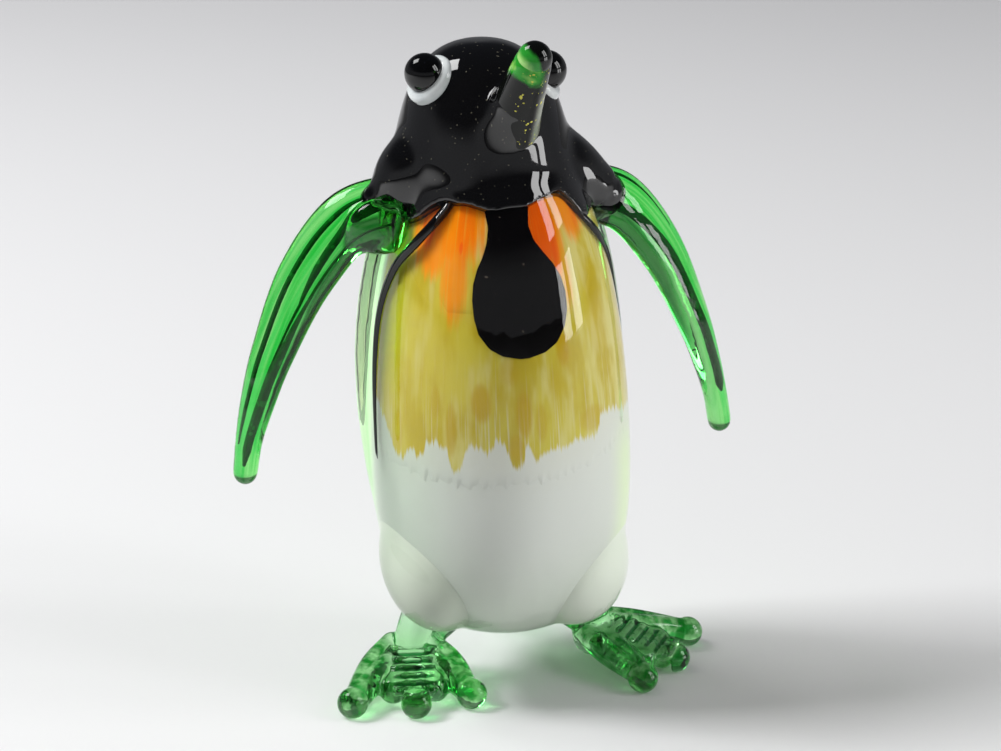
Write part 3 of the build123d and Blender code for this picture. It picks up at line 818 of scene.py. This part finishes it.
# Thin closed sheet on the core: rows of (azimuth, height) at a depth under the casing's surface
def film(name, rows, depth, rim):
    rows = np.asarray(rows, float)
    height, width = rows.shape[:2]
    outer, inner = [], []
    for r, row in enumerate(rows):
        for c, (a, h) in enumerate(row):
            sink = rim * (1.0, 0.5, 0.15, 0.0)[min(r, height - 1 - r, c, width - 1 - c, 3)]
            outer.append(fromSpine(a, eggRadius(h, depth + sink), h))
            under = max(depth + films["thickness"], depth + sink + 0.1)
            inner.append(fromSpine(a, eggRadius(h, under), h))
    count = height * width
    faces = []
    for r in range(height - 1):
        for c in range(width - 1):
            a = r * width + c
            faces.append((a, a + 1, a + width + 1, a + width))
            faces.append((count + a, count + a + width, count + a + width + 1, count + a + 1))
    border = list(range(width)) + [r * width + width - 1 for r in range(1, height)]
    border += [(height - 1) * width + c for c in range(width - 2, -1, -1)]
    border += [r * width for r in range(height - 2, 0, -1)]
    for a, b in zip(border, border[1:] + border[:1]):
        faces.append((b, a, count + a, count + b))
    return meshObject(name, outer + inner, faces)


hemTeeth = np.random.default_rng(3).uniform(-1.0, 1.0, 90)
breastRows = []
for share in np.linspace(0, 1, 46):
    row = []
    for c, a in enumerate(np.linspace(-films["halfAngle"], films["halfAngle"], 180)):
        low = films["low"] + 0.5 * hemTeeth[c // 2] + 0.0004 * (a + 20) ** 2 - 0.8
        row.append((a, low + (films["high"] - low) * share))
    breastRows.append(row)
dress(film("breastYellow", breastRows, films["yellowDepth"], films["rim"]), breastGlass, "yellow_glass",
      "breast_yellow")

patch = {"halfWidth": 3.7, "halfHeight": 7.4, "spacing": 6.4, "height": 57.4, "bibX": 0.1}
bibCentreX = spineAt(52.8)[0] + patch["bibX"]


# Azimuth and height on the egg of a point seen from straight in front
def onFront(x, z, depth):
    across = x - spineAt(z)[0]
    radius = eggRadius(z, depth)
    return math.degrees(math.asin(max(-0.98, min(0.98, across / radius)))), z


for side, name in bothSides:
    rows = []
    for r in np.linspace(-0.985, 0.985, 26):
        half = math.sqrt(1 - r * r) * patch["halfWidth"]
        z = min(patch["height"] + r * patch["halfHeight"], 64.5)
        rows.append([onFront(bibCentreX + side * patch["spacing"] + half * c, z, films["orangeDepth"])
                     for c in np.linspace(-1, 1, 16)])
    dress(film("orangePatch" + name, rows, films["orangeDepth"], films["rim"]), orangeGlass,
          "orange_glass", "orange_patch_" + name.lower())

# Throat bib: half widths left and right of its middle line at each height
bib = {"heights": (46.1, 46.5, 47.4, 49.0, 50.8, 52.8, 54.6, 56.2, 57.6, 59.0, 60.6, 62.4, 64.2),
       "left": (0.5, 2.4, 3.9, 5.0, 5.4, 5.5, 5.3, 4.8, 4.1, 3.6, 3.3, 3.5, 4.6),
       "right": (0.5, 2.4, 3.9, 4.9, 5.3, 5.2, 4.7, 3.8, 2.7, 1.7, 1.2, 1.4, 2.6)}
rows = []
for z in np.linspace(bib["heights"][0], bib["heights"][-1], 44):
    leftHalf = float(np.interp(z, bib["heights"], bib["left"]))
    rightHalf = float(np.interp(z, bib["heights"], bib["right"]))
    rows.append([onFront(bibCentreX + (leftHalf * c if c < 0 else rightHalf * c), z, films["bibDepth"])
                 for c in np.linspace(-1, 1, 30)])
dress(film("throatBib", rows, films["bibDepth"], 0.2), bibGlass, "black_glass", "throat_bib")

stringer = {"radius": 0.56, "startRadius": 0.64, "endRadius": 0.16,
            "stations": ((0.91, 42, 1.5), (0.87, 47, 1.0), (0.815, 60, 0.12), (0.75, 76, 0.12),
                         (0.66, 86, 0.12), (0.55, 87, 0.12), (0.40, 84, 0.12), (0.37, 83, 0.12))}
for side, name in bothSides:
    line = []
    for share, azimuthAt, depth in stringer["stations"]:
        z = body["bottom"] + (body["top"] - body["bottom"]) * share
        line.append(spineAt(z) + levelWay(side * azimuthAt) * eggRadius(z, depth))
    line = smoothLine(line, 70)
    radii = np.interp(np.linspace(0, 1, 70), (0, 0.45, 0.75, 0.9, 1),
                      np.array((stringer["startRadius"], stringer["radius"], stringer["radius"] * 0.75,
                                stringer["radius"] * 0.45, stringer["endRadius"])))
    dress(rod("sideStringer" + name, line, radii, 16), stringerGlass, "black_glass",
          "side_stringer_" + name.lower())

print("head")
head = {"top": 79.5, "collarHeight": 61.6, "collarRadius": 11.8, "setback": 2.0, "shift": -0.6,
        "neckShare": 0.83, "neckRise": 0.27, "crownShare": 0.865, "joinHeight": 67.8, "lipPull": 2.4,
        "wallPull": 3.0, "proud": 0.15}
headProfile = bezier([(head["collarRadius"], head["collarHeight"]),
                      (head["collarRadius"] * head["neckShare"],
                       head["collarHeight"] + (head["top"] - head["collarHeight"]) * head["neckRise"]),
                      (head["collarRadius"] * head["crownShare"], head["top"]), (0.6, head["top"])], 90)
# Lower rim of the black glass: (azimuth, height) of its ragged edge
rim = {"azimuths": (-180, -120, -100, -90, -84, -77, -70, -63, -60, -52, -46, -42, -34, -27, -22, -19,
                    -17.5, -14, -6, 3, 6, 9, 14, 21, 29, 37, 41, 46, 51, 58, 66, 74, 84, 100, 120, 180),
       "heights": (61.0, 61.2, 60.6, 60.0, 59.6, 60.2, 60.7, 61.4, 61.9, 62.8, 63.3, 63.2, 63.4, 63.2,
                   63.0, 62.8, 62.7, 62.7, 62.8, 62.8, 62.8, 62.9, 63.1, 63.4, 63.5, 63.4, 62.8, 61.6,
                   60.4, 59.8, 60.2, 59.8, 60.2, 61.0, 61.2, 61.0)}


def headPoint(azimuth, radius, height):
    return fromSpine(azimuth, radius, height, head["setback"]) + np.array([head["shift"], 0, 0])


def headRadius(height):
    return float(np.interp(height, headProfile[:, 1], headProfile[:, 0]))


def bodyPoint(azimuth, height, lift):
    return fromSpine(azimuth, eggRadius(height) + mantleRise(azimuth, height) + lift, height)


# Each column runs from inside the body over its ragged rim and up the neck in one smooth flare
columns = []
for a in turnsAround:
    low = float(np.interp(a, rim["azimuths"], rim["heights"]))
    start = bodyPoint(a, low, head["proud"])
    alongBody = unit(bodyPoint(a, low + 0.8, head["proud"]) - start)
    end = headPoint(a, headRadius(head["joinHeight"]), head["joinHeight"])
    upWall = unit(headPoint(a, headRadius(head["joinHeight"] + 0.5), head["joinHeight"] + 0.5) - end)
    flare = bezier([start, start + alongBody * head["lipPull"], end - upWall * head["wallPull"], end],
                   26)
    upper = [headPoint(a, radius, z) for radius, z in headProfile if z > head["joinHeight"] + 0.1]
    columns.append([bodyPoint(a, low - 0.8, -1.6), bodyPoint(a, low, -0.25)] + list(flare) + upper)
headBlock = skinRings("headBlock", np.array(columns).transpose(1, 0, 2))

# Shoulders run out of the neck into the wings; shares of the reach, rise and radius
shoulder = {"reach": 10.5, "height": 60.8, "radius": 5.6, "rise": 5.3, "setback": 1.0, "ragged": 0.05,
            "stations": {-1: ((0.38, 1.14, 1.04), (0.82, 0.70, 0.90), (1.08, 0.40, 0.68),
                              (1.22, 0.26, 0.46), (1.31, 0.20, 0.30)),
                         1: ((0.30, 1.10, 1.02), (0.74, 0.62, 0.90), (1.0, 0.32, 0.76),
                             (1.18, 0.10, 0.60), (1.28, -0.04, 0.46))},
            "creaseRounds": 90}
rng = np.random.default_rng(7)
shoulderBlocks = []
for side in (-1, 1):
    line, radii = [], []
    for reachShare, riseShare, radiusShare in shoulder["stations"][side]:
        z = shoulder["height"] + shoulder["rise"] * riseShare
        line.append(besideSpine(side * shoulder["reach"] * reachShare, z, shoulder["setback"]))
        radii.append(shoulder["radius"] * radiusShare)
    line = smoothLine(line, 24)
    radii = np.interp(np.linspace(0, len(radii) - 1, 24), range(len(radii)), radii)
    radii[14:] *= 1 + shoulder["ragged"] * rng.uniform(-1, 1, 10)
    shoulderBlocks.append(rod("shoulderBlock", line, radii, 40))


# Where the shoulders run into the neck
def shoulderCrease(points):
    middle = body["spineX"] - points[:, 2] * math.tan(deg(body["lean"])) + head["shift"]
    out = np.abs(points[:, 0] - middle)
    share = easeStep(5.0, 8.0, out) * (1 - easeStep(13.0, 16.0, out))
    return share * easeStep(60.5, 64.0, points[:, 2]) * (1 - easeStep(71.5, 75.0, points[:, 2]))


beak = {"turn": 12.0, "pitch": 56.0, "length": 15.0, "rootRadius": 4.3, "endRadius": 2.1,
        "rootHeight": 67.0, "rootReach": 4.6, "muzzleRadius": 6.8, "waist": 0.22, "tipRadius": 1.95,
        "tipAdvance": 0.7}
beakTaper = beak["endRadius"] - beak["rootRadius"]
beakLevel = levelWay(beak["turn"])
beakWay = beakLevel * math.cos(deg(beak["pitch"])) + upWay * math.sin(deg(beak["pitch"]))
beakSide = unit(np.cross(beakWay, frontWay))
headShift = np.array([head["shift"], 0, 0])
beakRoot = spineAt(beak["rootHeight"], head["setback"]) + headShift + beakLevel * beak["rootReach"]
muzzleTop = unit(upWay * 0.75 - beakLevel * 0.45 - beakSide * 0.70)
muzzleLine, muzzleRadii = [], np.linspace(beak["muzzleRadius"], beak["rootRadius"] * 0.70, 14)
for reach, radius in zip(np.linspace(-2.0, 8.0, 14), muzzleRadii):
    coneRadius = beak["rootRadius"] + beakTaper * max(reach, 0) / beak["length"]
    muzzleLine.append(beakRoot + beakWay * reach + muzzleTop * (radius - coneRadius + 0.25))
muzzle = rod("muzzle", muzzleLine, muzzleRadii, 48)


# Softens the muzzle into the face above the beak, and leaves its lip below sharp
def softPlaces(points):
    offset = points - beakRoot
    along = offset @ beakWay
    away = np.linalg.norm(offset - along[:, None] * beakWay, axis=1)
    face = easeStep(-3.0, -1.0, along) * (1 - easeStep(6.0, 9.0, along))
    face = face * (1 - easeStep(7.0, 10.0, away))
    above = easeStep(-0.5, 1.5, offset @ muzzleTop)
    return np.maximum(shoulderCrease(points), face * above)


headPiece = melt("headAndShoulders", [headBlock, muzzle] + shoulderBlocks, 0.28, 8, softPlaces,
                 shoulder["creaseRounds"])
dress(headPiece, blackGlass, "black_glass", "head", "shoulder_gather_left", "shoulder_gather_right")
profile = [(beak["rootRadius"] * math.cos(deg(t)), -beak["rootRadius"] * 0.6 * math.sin(deg(t)))
           for t in (85, 65, 45, 25)]
for share in np.linspace(0, 1, 40):
    waist = beak["waist"] * math.sin(math.pi * share)
    profile.append((beak["rootRadius"] + beakTaper * share - waist, beak["length"] * share))
profile += [(beak["endRadius"] * math.cos(deg(t)),
             beak["length"] + beak["endRadius"] * math.sin(deg(t)) * 0.8) for t in (25, 50, 70, 85)]
beakCone = turned("beakCone", beakRoot, beakWay, profile, 64)
offset = pointsOf(beakCone) - beakRoot
along = offset @ beakWay / beak["length"]
girth = beak["rootRadius"] + beakTaper * np.clip(along, 0, 1)
setDrawn(beakCone,
         np.stack([offset @ beakSide / girth, along, offset @ np.cross(beakWay, beakSide) / girth], 1))
dress(beakCone, beakGlass, "flecked_green_glass", "beak")
tipCentre = beakRoot + beakWay * (beak["length"] + beak["tipAdvance"])
beakDrop = ball("beakDrop", tipCentre, (beak["tipRadius"],) * 3, (1, 0, 0), beakWay, 32, 48)
offset = (pointsOf(beakDrop) - tipCentre) / beak["tipRadius"]
setDrawn(beakDrop, np.stack([offset @ beakSide, offset @ upWay, offset @ frontWay], 1))
dress(beakDrop, tipGlass, "black_glass", "beak_tip")

# Eyes: a low white bead with a black ball on it
eye = {"height": {-1: 75.6, 1: 75.1}, "azimuth": 68.0, "pitch": 40.0, "reach": 6.75, "whiteRadius": 3.1,
       "whiteThickness": 1.1, "round": 0.8, "pupilRadius": 2.32, "pupilRise": 0.7,
       "pupilShift": {-1: (0.42, 0.1, -0.15), 1: (-0.5, -0.2, 0.0)}}
for side, name in bothSides:
    level = levelWay(side * eye["azimuth"])
    way = level * math.cos(deg(eye["pitch"])) + upWay * math.sin(deg(eye["pitch"]))
    root = spineAt(eye["height"][side], head["setback"]) + headShift + level * eye["reach"]
    flat, turn = eye["whiteRadius"] - eye["round"], eye["round"]
    profile = [(0.4, -1.6), (eye["whiteRadius"] - 0.3, -1.6), (eye["whiteRadius"], -1.0)]
    profile += [(flat + turn * math.sin(deg(t)), eye["whiteThickness"] - turn + turn * math.cos(deg(t)))
                for t in (90, 75, 60, 45, 30, 15, 0)]
    profile += [(flat * 0.5, eye["whiteThickness"] + 0.02), (0.3, eye["whiteThickness"] + 0.02)]
    dress(turned("eyeWhite" + name, root, way, profile), eyeGlass, "opal_white",
          "eye_white_" + name.lower())
    pupilAt = root + way * (eye["whiteThickness"] + eye["pupilRise"]) + np.array(eye["pupilShift"][side])
    dress(ball("eyePupil" + name, pupilAt, (eye["pupilRadius"],) * 3, (1, 0, 0), way), pupilGlass,
          "black_glass", "eye_pupil_" + name.lower())

print("wings")
wing = {"reach": {-1: 30.8, 1: 28.0}, "tipHeight": {-1: 29.4, 1: 30.6}, "halfChord": 3.95,
        "halfThickness": 1.85, "turn": 38.0, "setback": 1.0, "tipRadius": 1.5, "softRounds": 22,
        "shares": ((0.0, -0.01, 0.98, 1.0), (0.31, 0.05, 1.0, 1.0), (0.59, 0.26, 0.90, 0.9),
                   (0.80, 0.54, 0.70, 0.8), (0.905, 0.73, 0.56, 0.74), (0.965, 0.87, 0.44, 0.73),
                   (1.0, 1.0, 0.38, 0.8))}
knuckle = {"radii": {-1: (4.3, 2.1, 3.5), 1: (1.5, 1.6, 1.6)}, "reach": {-1: 13.4, 1: 11.4},
           "height": {-1: 59.2, 1: 59.0}, "advance": {-1: 1.6, 1: 0.6}, "rounds": 60}
# Threads: (share of the length, share of the half chord from the middle, radius) along each one
threads = {-1: (((0.06, -0.50, 0.12), (0.36, -0.50, 0.16), (0.48, -0.40, 0.42), (0.60, -0.28, 0.50),
                 (0.75, -0.16, 0.46), (0.88, 0.0, 0.38), (0.96, 0.1, 0.12)),
                ((0.08, -0.05, 0.40), (0.18, -0.12, 0.50), (0.30, -0.22, 0.42), (0.38, -0.3, 0.16),
                 (0.6, -0.1, 0.08)),
                ((0.05, 0.30, 0.30), (0.25, 0.36, 0.34), (0.5, 0.40, 0.30), (0.72, 0.45, 0.2),
                 (0.86, 0.5, 0.08))),
           1: (((0.05, -0.45, 0.35), (0.14, -0.28, 0.55), (0.32, 0.05, 0.62), (0.55, 0.25, 0.55),
                (0.72, 0.32, 0.5), (0.80, 0.34, 0.42), (0.84, 0.34, 0.12)),
               ((0.05, 0.62, 0.26), (0.14, 0.66, 0.18), (0.22, 0.66, 0.10), (0.30, 0.66, 0.05)))}


# Values between the rows of a list, at the given places in it
def rowsAt(rows, at):
    return np.stack([np.interp(at, range(len(rows)), rows[:, axis]) for axis in range(3)], 1)


def wingLine(side, count=90):
    reach, tipHeight = wing["reach"][side], wing["tipHeight"][side]
    rows = []
    for outShare, dropShare, chordShare, thickShare in wing["shares"]:
        z = shoulder["height"] - (shoulder["height"] - tipHeight) * dropShare
        out = shoulder["reach"] + (reach - shoulder["reach"]) * outShare
        rows.append((*besideSpine(side * out, z, wing["setback"]), wing["halfChord"] * chordShare,
                     wing["halfThickness"] * thickShare))
    rows = smoothLine(rows, count)
    centres, halfChord, halfThick = rows[:, :3], rows[:, 3], rows[:, 4]
    tangents = np.gradient(centres, axis=0)
    tangents /= np.linalg.norm(tangents, axis=1)[:, None]
    edges = np.stack([-tangents[:, 2] * side, 0 * tangents[:, 0], tangents[:, 0] * side], 1)
    chords = edges * math.cos(deg(wing["turn"])) + np.array([0, 1, 0]) * math.sin(deg(wing["turn"]))
    return centres, tangents, chords, np.cross(tangents, chords), halfChord, halfThick


for side, name in bothSides:
    centres, tangents, chords, normals, halfChord, halfThick = wingLine(side)

    def section(index, along, grow):
        return [centres[index] + tangents[index] * along
                + chords[index] * math.cos(t) * halfChord[index] * grow
                + normals[index] * math.sin(t) * halfThick[index] * grow for t in turnsOf(48)]

    rings = [section(0, -0.4, 0.5), section(0, -0.2, 0.85)]
    rings += [section(index, 0, 1) for index in range(len(centres))]
    rings += [section(-1, wing["tipRadius"] * math.sin(deg(t)), math.cos(deg(t)))
              for t in (20, 40, 60, 80)]
    blade = skinRings("blade", rings)
    knuckleCentre = besideSpine(side * knuckle["reach"][side], knuckle["height"][side],
                                -knuckle["advance"][side])
    lump = ball("lump", knuckleCentre, knuckle["radii"][side])

    def nearKnuckle(points):
        return 1 - easeStep(4.5, 8.0, np.linalg.norm(points - knuckleCentre, axis=1))

    piece = melt("wing" + name, [blade, lump], 0.24, wing["softRounds"], nearKnuckle, knuckle["rounds"])
    # where each point lies on the drawn wing: across the chord, along it, and through it
    places = pointsOf(piece)
    nearest = np.array([np.argmin(((centres - p) ** 2).sum(1)) for p in places])
    offset = places - centres[nearest]
    lengths = np.concatenate([[0], np.cumsum(np.linalg.norm(np.diff(centres, axis=0), axis=1))])
    setDrawn(piece, np.stack([(offset * chords[nearest]).sum(1), lengths[nearest],
                              (offset * normals[nearest]).sum(1)], 1))
    dress(piece, wingGlass[side], "green_glass", "wing_" + name.lower(),
          "wing_knuckle_" + name.lower())
    for number, plan in enumerate(threads[side], start=1):
        stops = np.array(plan)
        shares = np.linspace(stops[0, 0], stops[-1, 0], 60)
        at = shares * (len(centres) - 1)
        chordShares = np.interp(shares, stops[:, 0], stops[:, 1])
        line = rowsAt(centres, at) + rowsAt(chords * halfChord[:, None], at) * chordShares[:, None]
        radii = np.interp(shares, stops[:, 0], stops[:, 2])
        dress(rod("wingThread" + name + str(number), line, radii, 16), threadGlass, "dark_green_glass",
              "wing_thread_" + name.lower() + "_" + str(number))

print("feet")
feet = {"turn": {-1: -8.5, 1: 54.0}, "web": 18.5, "webFrom": 1.5, "webTo": 8.0, "webRadius": 1.75,
        "spread": 37.0, "toeReach": (11.9, 10.6), "archWide": 5.0, "archAlong": 3.6, "archRadius": 1.5,
        "padLength": 10.9, "heel": 5.6, "toe": 2.2, "ribProud": 0.12, "ribRadius": 0.55,
        "ribLength": 2.1, "gussetReach": 5.4, "gussetRadius": 1.3, "shinLean": 1.9, "shinRise": 8.6,
        "shinRadii": (2.6, 2.3), "soleLength": 9.2, "soleRadii": (2.3, 1.35), "softRounds": 5}
for side, name in bothSides:
    members = [n + "_" + name.lower()
               for n in ("leg", "foot_pad", "toe_inner", "toe_middle", "toe_outer")]
    low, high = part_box("leg_" + name.lower())
    ankle = (np.array(low) + np.array(high)) / 2 / mm * np.array([1, 1, 0])
    footWay = levelWay(feet["turn"][side])
    footSide = np.cross(footWay, upWay)
    extras = []
    for turn in (-1, 1):  # glass that joins the toes
        webWay = levelWay(feet["turn"][side] + turn * feet["web"])
        extras.append(rod("web", [ankle + webWay * reach + upWay * (3.4 - reach * 0.18)
                                  for reach in np.linspace(feet["webFrom"], feet["webTo"], 10)],
                          [feet["webRadius"]] * 10, 24))
        sideWay = levelWay(feet["turn"][side] + turn * 90)
        toeWay = levelWay(feet["turn"][side] + turn * feet["spread"])
        toeEnd = ankle + toeWay * feet["toeReach"][0 if turn == side else 1] + upWay * 1.9
        arch = smoothLine([ankle + sideWay * 2.2 - footWay * 0.4 + upWay * 4.2,
                           ankle + sideWay * feet["archWide"] + footWay * feet["archAlong"]
                           + upWay * 3.2, toeEnd], 16)
        extras.append(rod("arch", arch, [feet["archRadius"]] * 16, 24))

    # height of the pad's top along the foot
    def padTop(along):
        return feet["heel"] - (feet["heel"] - feet["toe"]) * along / feet["padLength"]

    for number in range(footLook["ribCount"]):
        along = footLook["ribFirst"] + footLook["ribPitch"] * number
        rib = ankle + footWay * along + upWay * (padTop(along) + feet["ribProud"])
        extras.append(rod("rib", [rib + footSide * feet["ribLength"] * share
                                  for share in np.linspace(-1, 1, 6)], [feet["ribRadius"]] * 6, 12))
    inward = np.array([-side, 0, 0])
    rise = np.linspace(0, 1, 8)[:, None]
    gusset = (ankle + inward * (1.0 + feet["gussetReach"] * rise) + frontWay * 1.5
              + upWay * (4.4 + 4.4 * rise))
    extras.append(rod("gusset", gusset, [feet["gussetRadius"]] * 8, 20))
    shin = (ankle + inward * (feet["shinLean"] * rise) + frontWay * rise
            + upWay * (2.8 + feet["shinRise"] * rise))
    extras.append(rod("shin", shin, np.linspace(*feet["shinRadii"], 8), 32))
    soleRadii = np.linspace(*feet["soleRadii"], 12)
    sole = [ankle + footWay * along + upWay * (padTop(along) - 0.1 - radius)
            for along, radius in zip(np.linspace(0, feet["soleLength"], 12), soleRadii)]
    extras.append(rod("sole", sole, soleRadii, 28))
    foot = melt("foot" + name, [nodesOf[n] for n in members[2:]] + extras, 0.2, feet["softRounds"])
    offset = pointsOf(foot) - ankle
    setDrawn(foot, np.stack([offset @ footSide, offset[:, 2], offset @ footWay], 1))
    dress(foot, footGlass, "foot_glass", *members)

tail = {"reach": 15.6, "rootReach": 10.5, "rootHeight": 11.0, "rootWidth": 3.2, "tipRadius": 1.3}
tailRoot = spineAt(tail["rootHeight"], tail["rootReach"])
tailTip = spineAt(tail["tipRadius"], tail["reach"])
line = np.linspace(tailRoot - (tailTip - tailRoot) * 0.15, tailTip, 40)
radii = tail["tipRadius"] + (tail["rootWidth"] - tail["tipRadius"]) * (1 - np.linspace(0, 1, 40)) ** 1.3
tailDrop = rod("tailDrop", line, radii, 40)
setDrawn(tailDrop, pointsOf(tailDrop)[:, [0, 2, 1]])
dress(tailDrop, footGlass, "foot_glass", "tail")

print("studio")
studio = {"floorHalf": 4000.0, "floorNear": shade(226, 226, 227), "floorFar": shade(219, 219, 221),
          "nearY": -40.0, "farY": 460.0, "worldLevel": 0.22, "horizon": shade(206, 207, 210),
          "glossHorizon": shade(120, 121, 125), "zenith": shade(52, 54, 60), "room": shade(54, 54, 58),
          "bentRoom": shade(212, 214, 218), "bentZenith": shade(128, 130, 136),
          "wall": shade(136, 137, 140), "paperFrom": -20.0, "paperEnd": -620.0}
half = studio["floorHalf"]
table = meshObject("table", [(-half, -half, 0), (half, -half, 0), (half, half, 0), (-half, half, 0)],
                   [(0, 1, 2, 3)])
material, tree, out = newMaterial("tablePaper")
where = objectPlace(tree)
depthY = times(tree, parted(tree, where)[1], 1000.0)
grain = noiseAt(tree, where, 900.0, 3.0)
path = addNode(tree, "ShaderNodeLightPath")
beyond = times(tree, easeMask(tree, depthY, studio["paperFrom"], studio["paperEnd"]), 0.75,
               path.outputs["Is Glossy Ray"])  # gloss sees the dim room in front
paper = layered(tree, studio["floorNear"],
                (easeMask(tree, depthY, studio["nearY"], studio["farY"]), studio["floorFar"]),
                (times(tree, grain, 0.02), shade(180, 180, 180)), (beyond, studio["room"]))
sheet = addNode(tree, "ShaderNodeBsdfPrincipled", {"Base Color": paper, "Roughness": 0.6})
tree.links.new(sheet.outputs[0], out.inputs["Surface"])
table.data.materials.append(material)

world = bpy.data.worlds.new("room")
scene.world = world
world.use_nodes = True
tree = world.node_tree
tree.nodes.clear()
out = tree.nodes.new("ShaderNodeOutputWorld")
way = addNode(tree, "ShaderNodeTexCoord").outputs["Generated"]
backward, level = parted(tree, way)[1:3]
path = addNode(tree, "ShaderNodeLightPath").outputs
skyline = blendColour(tree, path["Is Glossy Ray"], studio["horizon"], studio["glossHorizon"])
overhead = blendColour(tree, path["Is Transmission Ray"], studio["zenith"], studio["bentZenith"])
bent = calc(tree, "MAXIMUM", path["Is Glossy Ray"], path["Is Transmission Ray"])
inFront = times(tree, easeMask(tree, backward, 0.15, -0.3), bent)
dim = layered(tree, studio["room"], (easeMask(tree, level, 0.36, 0.14), studio["wall"]),
              (path["Is Transmission Ray"], studio["bentRoom"]))
seen = layered(tree, skyline, (easeMask(tree, level, 0.16, 0.5), overhead), (inFront, dim))
looked = calc(tree, "MAXIMUM", path["Is Camera Ray"], bent)
looked = times(tree, looked, calc(tree, "LESS_THAN", path["Diffuse Depth"], 0.5))
lit = addNode(tree, "ShaderNodeBackground", {"Color": (1, 1, 1, 1), "Strength": studio["worldLevel"]})
shown = addNode(tree, "ShaderNodeBackground", {"Color": seen, "Strength": 1.0})
mix = addNode(tree, "ShaderNodeMixShader", {0: looked, 1: lit.outputs[0], 2: shown.outputs[0]})
tree.links.new(mix.outputs[0], out.inputs["Surface"])

# A soft lamp on the left casts the shadow, a high one behind gives the glints, and a tall window of
# four panes stands on the right: place, height aimed at, size, watts, and whether it glints
lamps = {"leftLamp": ((-560, 120, 600), 45, (200, 200), 5.2, False),
         "highLamp": ((-376, 263, 655), 45, (290, 290), 2.2, True),
         "paneLowNear": ((530, -370, 60), 55, (105, 190), 0.36, True),
         "paneLowFar": ((600, -235, 60), 55, (105, 190), 0.36, True),
         "paneHighNear": ((455, -320, 370), 55, (105, 330), 0.66, True),
         "paneHighFar": ((525, -190, 370), 55, (105, 330), 0.66, True)}
for name, (place, aim, size, watts, glint) in lamps.items():
    data = bpy.data.lights.new(name, "AREA")
    data.shape, data.size, data.size_y = "RECTANGLE", size[0] * mm, size[1] * mm
    data.energy = watts
    obj = bpy.data.objects.new(name, data)
    scene.collection.objects.link(obj)
    obj.visible_glossy = glint
    obj.location = Vector(place) * mm
    obj.rotation_mode = "QUATERNION"
    obj.rotation_quaternion = (Vector((0, 0, aim)) - Vector(place)).to_track_quat("-Z", "Y")

scene.view_settings.view_transform = "Standard"
